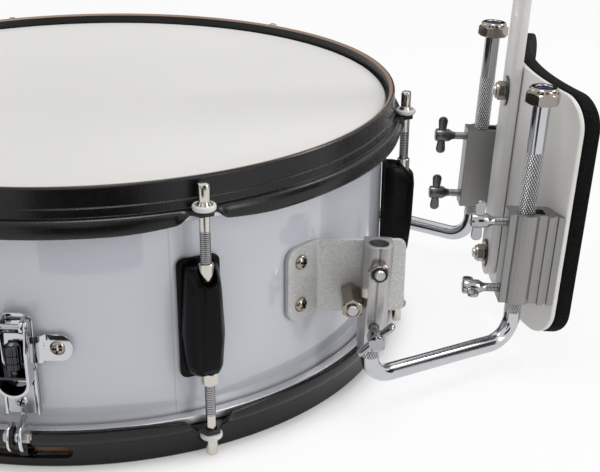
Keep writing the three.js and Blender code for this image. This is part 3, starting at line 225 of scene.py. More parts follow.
def meshFrom(bm, name="part"):
    mesh = bpy.data.meshes.new(name)
    bm.to_mesh(mesh)
    bm.free()
    return mesh


def pour(bm, whole):  # adds one shape to another
    part = meshFrom(bm)
    whole.from_mesh(part)
    bpy.data.meshes.remove(part)


def together(*shapes):
    whole = bmesh.new()
    for shape in shapes:
        pour(shape, whole)
    return whole


def shown(name, data):  # a new object in the scene
    made = bpy.data.objects.new(name, data)
    bpy.context.scene.collection.objects.link(made)
    return made


def worked(operation, bm, tool):  # cut, joined or kept in common, as an exact boolean
    objects = [shown("blank", meshFrom(shape)) for shape in (bm, tool)]
    modifier = objects[0].modifiers.new("work", "BOOLEAN")
    modifier.operation, modifier.object, modifier.solver = operation, objects[1], "EXACT"
    bpy.context.view_layer.update()
    result = bmesh.new()
    result.from_mesh(objects[0].evaluated_get(bpy.context.evaluated_depsgraph_get()).data)
    for item in objects:
        mesh = item.data
        bpy.data.objects.remove(item)
        bpy.data.meshes.remove(mesh)
    return result


def cut(bm, *tools):  # one tool at a time, since they may overlap
    for tool in tools:
        bm = worked("DIFFERENCE", bm, tool)
    return bm


def merged(bm, other):
    return worked("UNION", bm, other)


class Piece:  # one object, made of shapes that may have different finishes
    def __init__(self, name, place):
        self.name, self.place, self.shape, self.looks = name, place, bmesh.new(), []

    def add(self, shape, look, at=None, also=None, where=None):  # also: the finish where a face passes a test
        for face in shape.faces:
            chosen = also if where and where(face) else look
            if chosen not in self.looks:
                self.looks.append(chosen)
            face.material_index = self.looks.index(chosen)
        if at is not None:
            placed(shape, at)
        pour(shape, self.shape)
        return self

    def screw(self, look, at, radius=4.2, height=2.6):
        # the faces inside the cross get the recess finish, a painted shade
        self.add(phillipsHead(radius, height), look, at, recess, lambda face: inRecess(face, radius, height))

    def done(self, body, slot, *nodes, sharp=32):
        placed(self.shape, self.place)
        mesh = meshFrom(self.shape, self.name)
        mesh.shade_smooth()
        mesh.set_sharp_from_angle(angle=radians(sharp))
        for look in self.looks:
            mesh.materials.append(look.material)
        made = shown(self.name, mesh)
        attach(made, body)
        if nodes:
            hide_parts(*nodes)
        return made


def sided(stem, side, place=still):  # a piece that the carrier's left and right halves both have
    return Piece(stem + side.title(), onCarrier() @ flips[side] @ place)


# Finishes

class Field:  # a shader value, so that its sums are written as sums
    def __init__(self, nodes, socket):
        self.nodes, self.socket = nodes, socket

    def maths(self, operation, *values):
        return self.nodes.node("ShaderNodeMath", {"operation": operation}, dict(enumerate(values)))

    def __add__(self, other):
        return self.maths("ADD", self, other)

    def __sub__(self, other):
        return self.maths("SUBTRACT", self, other)

    def __mul__(self, other):
        return self.maths("MULTIPLY", self, other)

    def sine(self):
        return self.maths("SINE", self)

    def size(self):
        return self.maths("ABSOLUTE", self)

    def angleFrom(self, x):
        return self.maths("ARCTAN2", self, x)

    def larger(self, other):
        return self.maths("MAXIMUM", self, other)

    def under(self, limit):
        return self.maths("LESS_THAN", self, limit)


class Nodes:  # the node tree of a world or a material
    def __init__(self, owner, shader):
        owner.use_nodes = True
        self.tree = owner.node_tree
        self.shader = self.tree.nodes[shader]

    def set(self, socket, value):
        self.shader.inputs[socket].default_value = value

    def node(self, kind, settings=None, inputs=None, output=0):
        made = self.tree.nodes.new(kind)
        for name, value in (settings or {}).items():
            setattr(made, name, value)
        for name, value in (inputs or {}).items():
            if isinstance(value, Field):
                self.tree.links.new(value.socket, made.inputs[name])
            else:
                made.inputs[name].default_value = value
        return Field(self, made.outputs[output])

    def others(self, field, *names):  # other outputs of the node that a value comes from
        return [Field(self, field.socket.node.outputs[name]) for name in names]

    def seenRay(self):  # 1 for what the camera sees, straight or in metal and glass
        straight, mirror, through = self.others(
            self.node("ShaderNodeLightPath"), "Is Camera Ray", "Is Glossy Ray", "Is Transmission Ray")
        return straight.larger(mirror).larger(through)

    def feed(self, socket, field):
        self.tree.links.new(field.socket, self.shader.inputs[socket])


class Look(Nodes):
    def __init__(self, name, colour, roughness, **settings):
        self.material = bpy.data.materials.new(name)
        super().__init__(self.material, "Principled BSDF")
        self.colour = colour
        self.set("Base Color", linear(colour))
        self.set("Roughness", roughness)
        for socket, value in settings.items():
            self.set(socket.replace("_", " "), value)

    def place(self):
        return self.node("ShaderNodeTexCoord", output="Object")

    def xyz(self, place=None):
        return self.others(self.node("ShaderNodeSeparateXYZ", inputs={"Vector": place or self.place()}), *"XYZ")

    def noise(self, scale, detail=2.0, roughness=0.5, place=None):
        return self.node("ShaderNodeTexNoise", inputs={
            "Vector": place or self.place(), "Scale": scale, "Detail": detail, "Roughness": roughness})

    def stretched(self, scale):  # object coordinates drawn out along an axis
        return self.node("ShaderNodeMapping", inputs={"Vector": self.place(), "Scale": scale})

    def between(self, factor, a, b):
        return self.node("ShaderNodeMix", {"data_type": "RGBA"}, {"Factor": factor, "A": a, "B": b}, "Result")

    def mixed(self, factor, *colours):  # between two colours, or values that carry one
        return self.between(factor, *[item if isinstance(item, Field) else linear(item) for item in colours])

    def shaded(self, factor, share):  # between the look's own colour and a share of its light
        pale = linear(self.colour)
        return self.between(factor, pale, (*[value * share for value in pale[:3]], 1))

    def bump(self, height, strength, distance):
        self.feed("Normal", self.node("ShaderNodeBump", inputs={
            "Height": height, "Strength": strength, "Distance": distance}))
        return self


def linear(colour):  # written as 0 to 255 in the display's colours
    shares = [value / 255 for value in colour]
    return (*[s / 12.92 if s <= 0.04045 else ((s + 0.055) / 1.055) ** 2.4 for s in shares], 1)


# Camera and light

camera = Values(place=(0.1078, -0.70447, 0.19902), bearing=1.692, down=26.155, roll=0.358, lens=71.571,
                shiftY=0.12)


def makeCamera(c):
    bearing, down, roll = (radians(c[key]) for key in ("bearing", "down", "roll"))
    forward = Vector((sin(bearing) * cos(down), cos(bearing) * cos(down), -sin(down)))
    right = forward.cross(Vector((0, 0, 1))).normalized()
    up = right.cross(forward)
    across = right * cos(roll) + up * sin(roll)
    above = up * cos(roll) - right * sin(roll)
    lens = bpy.data.cameras.new("camera")
    lens.lens, lens.sensor_width, lens.shift_y, lens.clip_start = c.lens, 36, c.shiftY, 0.01
    made = shown("camera", lens)
    made.matrix_world = Matrix.Translation(c.place) @ Matrix((across, above, -forward)).transposed().to_4x4()
    bpy.context.scene.camera = made


makeCamera(camera)

lamps = {  # place, aim, width, height, watts
    "top": ((0.15, -0.1, 1.5), (0.05, 0, 0), 0.6, 0.45, 8.5),
    "left": ((-1.4, 0.5, 0.8), (0.3, 0, 0.1), 0.4, 1.0, 3.2),
    "right": ((1.35, -1.1, 0.7), (0.1, 0, -0.05), 0.35, 1.2, 7),
    "rightHigh": ((1.25, 0.25, 1.05), (0.1, -0.05, 0), 0.45, 0.35, 5.5),
}
room = Values(fill=0.42, backdrop=1.0, floorTint=(248, 248, 249), floorGlow=0.86, shade=0.172, open=0.205)
# dark cards that only shiny surfaces see: middle, width, height
cards = [((-1.15, -1.15, 0.35), 0.5, 1.1), ((0.62, -1.5, 0.35), 0.55, 1.1), ((1.6, -0.35, 0.35), 0.6, 1.1),
         ((-0.25, -1.6, 0.3), 0.3, 0.9), ((0.2, 1.6, 0.35), 1.4, 0.8), ((0.05, -0.46, -0.07), 0.24, 0.16)]

for name, (place, aim, width, height, watts) in lamps.items():
    lamp = bpy.data.lights.new(name, "AREA")
    lamp.shape, lamp.size, lamp.size_y, lamp.energy = "RECTANGLE", width, height, watts
    made = shown(name, lamp)
    made.location = place
    made.rotation_euler = (Vector(aim) - Vector(place)).to_track_quat("-Z", "Y").to_euler()


world = bpy.data.worlds.new("studio")
bpy.context.scene.world = world
sky = Nodes(world, "Background")
sky.set("Color", (1, 1, 1, 1))
sky.feed("Strength", sky.node("ShaderNodeMapRange", inputs={
    "Value": sky.seenRay(), "To Min": room.fill, "To Max": room.backdrop}))
bpy.context.scene.view_settings.view_transform = "Standard"


def grid(size):
    bm = bmesh.new()
    bmesh.ops.create_grid(bm, x_segments=1, y_segments=1, size=size)
    return bm


def makeFloor():  # it doesn't glow under the drum, where it would be dark
    look = Look("paleFloor", room.floorTint, 0.9, Specular_IOR_Level=0.1)
    flat = look.node("ShaderNodeVectorMath", {"operation": "MULTIPLY"}, {0: look.place(), 1: (1, 1, 0)})
    distance = look.node("ShaderNodeVectorMath", {"operation": "LENGTH"}, {0: flat}, "Value")
    share = look.seenRay() * look.node("ShaderNodeMapRange", {"interpolation_type": "SMOOTHSTEP"}, {
        "Value": distance, "From Min": room.shade, "From Max": room.open, "To Max": room.floorGlow})
    mix = look.node("ShaderNodeMixShader", inputs={
        "Fac": share, 1: Field(look, look.shader.outputs[0]), 2: look.node("ShaderNodeEmission")})
    look.tree.links.new(mix.socket, look.tree.nodes["Material Output"].inputs["Surface"])
    floor = shown("floor", meshFrom(placed(grid(4), moved(0, 0, floorLip - 0.0001)), "floor"))
    floor.data.materials.append(look.material)


def makeCard(name, place, width, height):
    facing = Vector((-place[0], -place[1], 0)).to_track_quat("Z", "Y").to_matrix().to_4x4()
    shape = placed(grid(0.5), Matrix.Translation(place) @ facing @ Matrix.Diagonal((width, height, 1, 1)))
    card = shown(name, meshFrom(shape, name))
    look = Look(name, (0, 0, 0), 1.0)
    look.set("Base Color", (0.01, 0.01, 0.011, 1))
    card.data.materials.append(look.material)
    card.visible_camera = card.visible_diffuse = card.visible_shadow = card.visible_transmission = False


makeFloor()
for index, (place, width, height) in enumerate(cards, 1):
    makeCard("darkCard%d" % index, place, width, height)
print("camera, lamps, floor and cards set")


# Finishes of this drum, colours as the display shows them

def glossWrap():  # white wrap with a seam just left of the front lug
    look = Look("glossWrap", (203, 206, 213), 0.1, Coat_Weight=0.6, Coat_Roughness=0.04)
    x, y, z = look.xyz()
    mottled = look.noise(9, 3)
    angle = y.angleFrom(x)
    seam = (angle + radians(wrap.seam)).size().under(wrap.seamWidth)
    pale = look.mixed(mottled, (199, 202, 210), (207, 210, 216))
    look.feed("Base Color", look.mixed(seam * 0.5, pale, (168, 172, 182)))
    look.feed("Roughness", look.noise(30, 2) * 0.06 + 0.07)
    return look.bump(look.noise(55, 2) * 0.3 - seam, 0.12, 0.0004)


def coatedFilm():
    look = Look("coatedFilm", (226, 225, 221), 0.62, Specular_IOR_Level=0.3)
    look.feed("Base Color", look.mixed(look.noise(6, 4), (222, 221, 217), (229, 228, 225)))
    return look.bump(look.noise(2600, 2), 0.25, 0.0002)


def clearFilm():
    look = Look("clearFilm", (214, 216, 219), 0.24, Specular_IOR_Level=0.6)
    look.feed("Alpha", look.noise(14, 2) * 0.1 + 0.42)
    look.feed("Roughness", look.noise(40, 2) * 0.1 + 0.2)
    return look


def mapleGrain():  # inside of the shell, its bearing edges and the seam of plies
    look = Look("mapleGrain", (190, 158, 118), 0.5)
    x, y, z = look.xyz()
    angle = y.angleFrom(x)
    place = look.node("ShaderNodeCombineXYZ", inputs={"X": angle * 3.0, "Y": z * 160.0, "Z": x * 0.5})
    grain = look.noise(2.2, 5, 0.6, place)
    look.feed("Base Color", look.mixed(grain, (160, 122, 84), (214, 184, 142)))
    look.feed("Roughness", grain * 0.2 + 0.4)
    return look.bump(grain, 0.15, 0.0003)


def satinBlack(name, colour, roughness, gloss):  # powder coat with an orange-peel skin
    look = Look(name, colour, roughness, Specular_IOR_Level=gloss)
    look.feed("Roughness", look.noise(160, 3) * 0.12 + (roughness - 0.06))
    shade = look.noise(220, 2)
    look.feed("Base Color", look.shaded(shade, 1.7))
    return look.bump(look.noise(900, 2), 0.16, 0.0003)


def bright(name, colour, roughness, wear=0.06):
    look = Look(name, colour, roughness, Metallic=1.0)
    smudge = look.noise(70, 3)
    look.feed("Roughness", smudge * wear + (roughness - wear / 2))
    look.feed("Base Color", look.shaded(smudge, 0.86))
    return look.bump(look.noise(300, 2), 0.05, 0.0002)


def sparkleCoat():  # silver powder coat, its flakes a fifth of a millimetre across
    look = Look("sparkleCoat", (196, 196, 194), 0.42, Metallic=0.35)
    flakes = look.node("ShaderNodeTexVoronoi", inputs={"Vector": look.place(), "Scale": 2600}, output="Color")
    shade = look.xyz(flakes)[0]
    look.feed("Base Color", look.mixed(shade, (176, 176, 175), (214, 214, 212)))
    look.feed("Roughness", shade * 0.2 + 0.36)
    return look.bump(shade, 0.14, 0.0002)


def satinExtrusion(name, dark, pale):  # drawn aluminium, bead blasted, lines running up the carrier
    look = Look(name, (178, 177, 176), 0.36, Metallic=1.0)
    drawn = look.noise(1, 3, 0.6, look.stretched((1500, 1500, 25)))
    grain = look.noise(2200, 2)
    look.feed("Base Color", look.mixed(grain * 0.6 + drawn * 0.4, dark, pale))
    look.feed("Roughness", drawn * 0.14 + 0.3)
    return look.bump(grain + drawn, 0.3, 0.0002)


def ivoryCoat():
    look = Look("ivoryCoat", (222, 220, 214), 0.38, Coat_Weight=0.15, Coat_Roughness=0.25)
    look.feed("Base Color", look.mixed(look.noise(12, 3), (228, 226, 221), (237, 235, 231)))
    look.feed("Roughness", look.noise(90, 2) * 0.12 + 0.32)
    return look.bump(look.noise(850, 2), 0.18, 0.0003)


def cellFoam():  # closed cells cut open at the skin
    look = Look("cellFoam", (20, 20, 21), 0.85, Specular_IOR_Level=0.12)
    cells = look.node("ShaderNodeTexVoronoi", inputs={"Vector": look.place(), "Scale": 1300}, output="Distance")
    look.feed("Base Color", look.mixed(cells * 1.4, (30, 30, 31), (6, 6, 7)))
    look.feed("Roughness", cells * 0.2 + 0.72)
    return look.bump(cells, 0.55, 0.0006)


def wovenTape():  # black tape, ribs across its length
    look = Look("wovenTape", (22, 22, 23), 0.6)
    x, y, z = look.xyz()
    ribs = ((x + y + z) * 5200.0).sine() * 0.5 + 0.5
    look.feed("Base Color", look.mixed(ribs, (15, 15, 16), (36, 36, 38)))
    return look.bump(ribs, 0.4, 0.0003)


def plainPlastic(name, colour, roughness):
    look = Look(name, colour, roughness)
    look.feed("Base Color", look.shaded(look.noise(140, 2), 0.9))
    return look.bump(look.noise(500, 2), 0.08, 0.0003)


def knurledChrome(side, name, x, y):  # diamond ridges round a leg of a J-rod
    look = Look(name + side.title(), (206, 206, 207), 0.2, Metallic=1.0)
    leg = onCarrier() @ Vector((x, -y if side == "left" else y, 0))
    up = Vector(joints["rod_height"]["axis"])
    x, y, z = look.xyz()
    across = x - (z - leg.z) * (up.x / up.z) - leg.x  # from the leg's axis, which leans
    angle = (y - leg.y).angleFrom(across)
    turns = angle * (knurl.round / 2)
    climb = z * (1000 * pi / knurl.pitch)
    ridges = (turns + climb).sine().size() * (turns - climb).sine().size()
    # painted shade: the base colour is dark between the knurl's ridges and pale on them
    look.feed("Base Color", look.mixed(ridges * 1.6, (52, 52, 54), (236, 236, 237)))
    return look.bump(ridges, 1.0, 0.0009)


wrap = Values(seam=70.5, seamWidth=0.0022)
jRod = Values(radius=5, bend=15, inset=78, reach=88.3, tube=131.03, short=-9, low=-68.5, nut=(75.5, 83.5),
              nutFlats=17, crown=1.25)
onLeg = moved(jRod.reach, jRod.inset, 0)
knurl = Values(round=20, pitch=2.7, low=-50, high=48, shortFoot=-54.5)

shellWhite, headWhite, headClear, maple = glossWrap(), coatedFilm(), clearFilm(), mapleGrain()
hoopBlack = satinBlack("hoopBlack", (8, 8, 9), 0.27, 0.38)
lugBlack = satinBlack("lugBlack", (8, 8, 9), 0.26, 0.1)
chrome = bright("chrome", (206, 207, 210), 0.08)
rodChrome = bright("rodChrome", (200, 201, 204), 0.12)
nickel = bright("warmNickel", (212, 207, 199), 0.18, 0.1)
darkNickel = bright("darkNickel", (160, 151, 140), 0.18, 0.1)
blackChrome = bright("blackChrome", (72, 73, 76), 0.14, 0.06)
nutChrome = bright("nutChrome", (158, 151, 143), 0.12)
zinc = bright("zincPlate", (188, 189, 191), 0.34, 0.12)
copper = bright("copperBolt", (196, 168, 150), 0.3, 0.1)
# painted shade: a darker finish for the walls between thread ridges, used on rods and wing screws
threadShade = bright("threadShade", (84, 82, 80), 0.4, 0.1)
ringMetal = bright("ringMetal", (232, 233, 235), 0.5, 0.1)
# the right side's wing screws get a darker copy of the chrome, as painted shade
wingChrome = {"left": bright("wingChrome", (172, 172, 175), 0.1),
              "right": bright("wingChromePaintedShade", (100, 100, 103), 0.24)}
# painted reflection: a tan band on the inner part of the batter hoop's lip top, for the brownish highlight
# along it
lipPaintedReflection = plainPlastic("lipPaintedReflection", (150, 122, 104), 0.5)
snareSteel = bright("snareSteel", (182, 183, 186), 0.24, 0.1)
satinTube = satinExtrusion("satinTube", (162, 161, 160), (204, 203, 202))
satinClamp = satinExtrusion("satinClamp", (126, 125, 123), (164, 163, 161))
sparkle, ivory, foam, tape = sparkleCoat(), ivoryCoat(), cellFoam(), wovenTape()
nylon = plainPlastic("nylonWhite", (226, 226, 224), 0.4)
nylonBlue = plainPlastic("nylonBlue", (44, 78, 150), 0.4)
rubber = plainPlastic("rubberBlack", (24, 24, 25), 0.55)
# painted shade: a dark brown finish for the faces inside each screw head's cross, where shade falls
recess = plainPlastic("recessShade", (30, 27, 24), 0.6)
amberFilm = plainPlastic("amberFilm", (146, 112, 82), 0.45)
knurledLong = {side: knurledChrome(side, "knurledLong", jRod.reach, jRod.inset) for side in ("left", "right")}
knurledShort = {side: knurledChrome(side, "knurledShort", 0, jRod.tube) for side in ("left", "right")}
print("finishes made")


# Small hardware, each about its own axis with the head upwards

def phillipsHead(radius=4.2, height=2.6): # oval head with a cross pressed in, seat at 0
    dome = lathe([(0, height), (radius * 0.35, height * 0.98), (radius * 0.62, height * 0.84),
                  (radius * 0.85, height * 0.58), (radius * 0.97, height * 0.28), (radius, height * 0.1),
                  (radius * 0.98, 0), (0, 0)], 32)
    wings = [placed(slab(roundRect(radius * 0.6, radius * 0.14, 0.1), height * 0.3, height + 1),
                    turned(angle)) for angle in (45, 135)]
    core = lathe([(0, height * 0.15), (radius * 0.32, height + 1), (0, height + 1)], 12)
    return cut(dome, *wings, core)


def out(face):  # how far a face stands from the axis
    return hypot(*face.calc_center_median()[:2])


def inRecess(face, radius, height):
    rise = face.calc_center_median().z
    return out(face) < radius * 0.62 and rise > 0.05 and (face.normal.z < 0.5 or rise < height * 0.5)


def threaded(radius, low, high, pitch=1.0, depth=0.32, sides=20, tip=0.6):
    rings = int((high - low - tip) / pitch)
    ridge = []
    for turn in range(rings):
        base = high - turn * pitch
        ridge += [(radius - depth, base), (radius, base - pitch * 0.22), (radius, base - pitch * 0.74)]
    return lathe([(0, high), (radius - depth, high)] + ridge[1:]
                 + [(radius - depth, low + tip), (radius - depth - tip, low), (0, low)], sides)


def inGroove(radius):  # test for the walls between thread ridges, which are given the painted shade
    return lambda face: abs(face.normal.z) < 0.97 and out(face) < radius - 0.06


def nut(flats, low, high, bore=0.0, crown=0.0):
    body = hexBar(flats, low, high, 0.0)
    chamfer = lathe([(0, low), (flats * 0.5, low), (flats * 0.578, low + flats * 0.05),
                     (flats * 0.578, high - flats * 0.05), (flats * 0.5, high), (0, high)], 48)
    body = worked("INTERSECT", body, chamfer)
    if crown:
        body = merged(body, lathe([
            (0, high - 0.3), (flats * 0.44, high - 0.3), (flats * 0.43, high + crown * 0.6),
            (flats * 0.39, high + crown), (0, high + crown)], 36))
    return cut(body, post(bore, low - 1, high + crown + 1)) if bore else body


# Shell and heads

shell = Values(outer=178, inner=171, edge=176.2, low=6.5, high=146.5, ease=1.8, bevel=5.2, vent=5,
               ventAzimuth=144, ventHeight=76.5)


def makeShell(s):
    section = [(s.inner, s.low + s.bevel), (s.edge, s.low, 0.4),
               (s.outer, s.low + s.ease, 0.8), (s.outer, s.high - s.ease, 0.8),
               (s.edge, s.high, 0.4), (s.inner, s.high - s.bevel)]
    hole = placed(post(s.vent, s.inner - 5, s.outer + 5, sides=32),
                  turned(s.ventAzimuth) @ facingOut(0, 0, s.ventHeight))
    grommet = latheRing([(s.vent - 1.2, -8.4, 0.5), (s.vent - 0.3, -8.4), (s.vent - 0.1, 0.15),
                         (s.vent + 2.4, 0.15), (s.vent + 2.2, 0.9, 0.3), (s.vent - 0.6, 1.3, 0.5),
                         (s.vent - 1.2, 0.6)], 36)
    piece = Piece("shellBody", onDrum())
    piece.add(cut(latheRing(section, 240), hole), shellWhite, None, maple,
              lambda face: out(face) < s.outer - 0.25)
    piece.add(grommet, chrome, turned(s.ventAzimuth) @ facingOut(s.outer, 0, s.ventHeight))
    piece.done("drum", "shell_wrap", "shell", sharp=25)


head = Values(top=147.3, film=0.5, collar=179, shoulder=1.6, rim=184.4, rimHigh=135.5, rimLow=131)


def headProfile(h):  # film from its middle over the shoulder into the flesh ring
    return [(0, h.top), (60, h.top), (120, h.top), (h.collar - 14, h.top),
            (h.collar - h.shoulder, h.top), (h.collar - 0.6, h.top - 0.4),
            (h.collar - 0.12, h.top - 1), (h.collar, h.top - h.shoulder),
            (h.collar, h.rimHigh), (h.rim - 0.7, h.rimHigh), (h.rim, h.rimHigh - 0.7),
            (h.rim, h.rimLow + 0.7), (h.rim - 0.7, h.rimLow), (h.collar + 0.2, h.rimLow),
            (h.collar - 0.5, h.rimLow + 0.7), (h.collar - 0.5, h.top - h.shoulder),
            (h.collar - 1.1, h.top - 0.9), (h.collar - h.shoulder - 0.4, h.top - h.film), (0, h.top - h.film)]


upsideDown = moved(0, 0, drumHeight) @ turned(180, "X")  # the drum's lower half is its upper half turned over


def makeHead(name, node, slot, look, collar, at, h):
    piece = Piece(name, onDrum())
    piece.add(lathe(headProfile(h), 200), look, at, collar,
              lambda face: out(face) > h.collar - 0.7)
    piece.add(latheRing([(h.collar + 0.3, h.rimLow - 0.05), (h.rim + 0.05, h.rimLow - 0.05, 0.6),
                         (h.rim + 0.05, h.rimHigh + 0.05, 0.6), (h.collar + 0.3, h.rimHigh + 0.05)], 200),
              ringMetal, at)
    piece.done("drum", slot, node)


# Hoops: a collar, a ledge on the head and a flange that folds down between the tension rods

hoop = Values(lip=181, wall=184.3, collar=185.3, root=186.2, top=153, step=142.6, ledge=138, bend=135,
              inner=0.8, outer=3, reachAtRod=9.3, reach=6.2, waist=3.3, flatHalf=0.9, earHalf=1.7, ramp=2.6,
              grow=13, arc=0.75, curl=0.4, rods=(-66, -6, 54, 114, 174, 234), rodCircle=191, hole=3.2,
              holeLow=120, holeHigh=145)
gate = Values(azimuths=(-95, 85), half=23, low=5.4, high=12.8, inside=179.5, outside=192)


def flangeAt(azimuth, h):  # fold in radians and reach past the bend
    off = min(abs((azimuth - rod + 180) % 360 - 180) for rod in h.rods)
    if off < h.earHalf:  # the flat ear under the washer narrows to a waist
        narrowed = max(off - h.flatHalf, 0) / (h.earHalf - h.flatHalf)
        return 0, h.waist + (h.reachAtRod - h.waist) * cos(pi / 2 * narrowed), 0
    folding = min((off - h.earHalf) / h.ramp, 1)
    growth = sin(pi / 2 * min((off - h.earHalf) / h.grow, 1))
    return pi / 2 * folding * folding * (3 - 2 * folding), h.waist + (h.reach - h.waist) * growth, folding


def makeHoop(name, node, at, gates, h):
    stations = [h.root + h.reachAtRod * share for share in (0.08, 0.16, 0.24, 0.32, 0.4, 0.6, 0.8)]
    tip = h.root + h.reachAtRod
    section = ([(h.lip, h.step, 0.4), (h.lip, h.top - 0.9, 0.5), (h.lip + 1, h.top, 0.5), (h.lip + 1.9, h.top),
                (h.wall - 0.9, h.top, 0.5), (h.wall, h.top - 0.9, 0.5), (h.wall, h.step + 0.2, 0.15),
                (h.collar, h.step - 0.2, 0.5), (h.collar, h.ledge + 0.3, 0.25), (h.root, h.ledge)]
               + [(x, h.bend + h.outer) for x in stations]
               + [(tip, h.bend + h.outer, 0.7), (tip, h.bend + h.inner, 0.7)]
               + [(x, h.bend + h.inner) for x in reversed(stations)]
               + [(h.root, h.bend + h.inner), (h.lip + 1.2, h.bend + h.inner, 0.3)])
    ring, way = latheRing(section, 720), -1 if gates else 1  # the lower hoop is turned over
    for vert in ring.verts:
        far = hypot(vert.co.x, vert.co.y)
        if far <= h.root + 0.01 or vert.co.z > h.ledge + 0.01:
            continue
        azimuth = atan2(vert.co.y, vert.co.x)
        fold, reach, folding = flangeAt(way * degrees(azimuth), h)
        share, rise = (far - h.root) / h.reachAtRod, vert.co.z - h.bend
        turn = fold * ((1 - h.curl) * min(share / h.arc, 1) + h.curl * share)
        straight = max(0, (share - h.arc) / (1 - h.arc))
        lead = reach * (share * (1 - folding) + straight * folding)
        far = h.root + rise * sin(turn) + lead * cos(turn)
        vert.co = (far * cos(azimuth), far * sin(azimuth),
                   h.bend + rise * cos(turn) - lead * sin(turn))
    tools = [placed(post(h.hole, h.holeLow, h.holeHigh, sides=20), turned(way * rod) @ moved(h.rodCircle, 0, 0))
             for rod in h.rods]
    if gates:
        radius = (gate.high - gate.low) / 2
        pill = panel(-gate.half, gate.half, drumHeight - gate.high, drumHeight - gate.low, radius)
        tools += [placed(slab(pill, gate.inside, gate.outside), turned(-azimuth) @ facingOut())
                  for azimuth in gate.azimuths]

    def onEdge(face):  # the inner part of the lip's flat top
        return face.calc_center_median().z > h.top - 1 and face.normal.z > 0.3 and out(face) < h.lip + 1.9

    piece = Piece(name, onDrum())
    # the inner part of the batter hoop's lip top gets the tan painted reflection
    piece.add(cut(ring, together(*tools)), hoopBlack, at, hoopBlack if gates else lipPaintedReflection, onEdge)
    piece.done("drum", "hoop_black", node, sharp=40)


makeShell(shell)
makeHead("batterHead", "batter_head", "batter_film", headWhite, headWhite, still, head)
makeHead("snareHead", "snare_head", "snare_film", headClear, amberFilm, upsideDown, head)
makeHoop("batterHoop", "batter_hoop", still, False, hoop)
makeHoop("snareHoop", "snare_hoop", upsideDown, True, hoop)
print("shell, heads and hoops made")


# Lugs: a backing plate, a faceted black casting, a swivel nut above and a fixed nut below

lug = Values(seat=178.3, plate=2.4, width=23, height=66.5, corner=4, middle=76.5, back=179.5, foot=47.5,
             rise=59.5, half=10.8, depth=18.6, ease=0.7, mouth=4.5, mouthFoot=99.6, mouthTop=112, mouthOut=203,
             swivel=3.7, swivelTop=110.6, nutFlats=7.4, nutLow=43.6, nutHigh=50)
lugStations = (  # shares of the rise, the width, the flat front and the depth
    (0, 0.74, 0.3, 0.6), (0.04, 0.82, 0.36, 0.78), (0.1, 0.9, 0.4, 0.88), (0.4, 1, 0.46, 0.97),
    (0.8, 0.88, 0.36, 1), (0.88, 0.85, 0.33, 0.97), (0.95, 0.81, 0.3, 0.86), (1, 0.76, 0.27, 0.68))


def lugRing(l, rise, width, facet, depth):  # half an outline, then its mirror
    half, front, deep = l.half * width, l.half * facet, l.depth * depth
    side = [(0, half), (deep * 0.4, half), (deep * 0.8, (half + front) / 2), (deep, front)]
    points = [(x, -y) for x, y in side] + [(x, y) for x, y in reversed(side)]
    return [(l.back + x, y, l.foot + l.rise * rise) for x, y in points]


def makeLug(index, azimuth, l):
    body = soften(loft([lugRing(l, *station) for station in lugStations]), l.ease, 3, 12)
    foot, above = l.mouthFoot, l.mouthTop
    arch = [(-l.mouth, above), (-l.mouth, foot, 4.3), (l.mouth, foot, 4.3), (l.mouth, above)]
    well = lathe([(0, foot), (2.6, foot + 0.8), (3.9, foot + 2.4), (l.mouth, foot + 4.4), (l.mouth, above),
                  (0, above)], 32)
    onRod = moved(hoop.rodCircle, 0, 0)
    body = cut(body, placed(well, onRod), placed(slab(arch, hoop.rodCircle, l.mouthOut), facingOut()))
    plate = slab(roundRect(l.width / 2, l.height / 2, l.corner), 0, l.plate, 0.8)
    foot += 0.3
    swivel = lathe([(0, foot), (2.1, foot + 0.25), (3.1, foot + 1), (l.swivel, foot + 2.5),
                    (l.swivel, l.swivelTop - 0.5), (l.swivel - 0.5, l.swivelTop),
                    (3.1, l.swivelTop), (2.9, l.swivelTop - 0.6), (0, l.swivelTop - 0.6)], 40)
    piece = Piece("lug%d" % index, onDrum(azimuth)).add(body, lugBlack)
    piece.add(plate, lugBlack, facingOut(l.seat, 0, l.middle))
    piece.add(swivel, nickel, onRod).add(nut(l.nutFlats, l.nutLow, l.nutHigh), nickel, onRod @ turned(30))
    piece.done("drum", "lug_black", "lug_%d" % index)


tension = Values(shank=2.7, tip=103, thread=127.6, pitch=1.05, flare=4.1, key=5.7, keyTop=151.7, washer=5.9,
                 washerLow=138.3, washerTop=141.3, cup=4.5, cupFloor=139.8)


def makeRod(name, node, azimuth, at, t):
    cup = latheRing([(2.95, t.washerLow), (t.washer, t.washerLow, 1.1), (t.washer, t.washerTop, 1.1),
                     (t.cup, t.washerTop, 0.3), (t.cup, t.cupFloor), (2.95, t.cupFloor)], 40)
    floor = t.cupFloor
    flare = lathe([(0, floor), (t.flare - 0.3, floor), (t.flare, floor + 0.5), (t.flare - 0.2, floor + 1.2),
                   (3.1, floor + 2.4), (2.7, floor + 3.6), (0, floor + 3.6)], 32)
    key = slab(roundRect(t.key / 2, t.key / 2, 2.1), floor + 2, t.keyTop, 1.2)
    shank = lathe([(0, floor), (t.shank, floor), (t.shank, t.thread), (0, t.thread)], 24)
    piece = Piece(name, onDrum(azimuth) @ moved(hoop.rodCircle, 0, 0)).add(cup, nylon, at)
    piece.add(flare, nickel, at).add(key, nickel, at @ turned(-10)).add(shank, nickel, at)
    piece.add(threaded(t.shank, t.tip, t.thread, t.pitch), zinc, at, threadShade, inGroove(t.shank))
    piece.done(node, "rod_nickel", node)


for index, azimuth in enumerate(hoop.rods, 1):
    makeLug(index, azimuth, lug)
    makeRod("batterRod%d" % index, "batter_rod_%d" % index, azimuth, still, tension)
    makeRod("snareRod%d" % index, "snare_rod_%d" % index, azimuth, upsideDown, tension)
print("lugs and tension rods made")


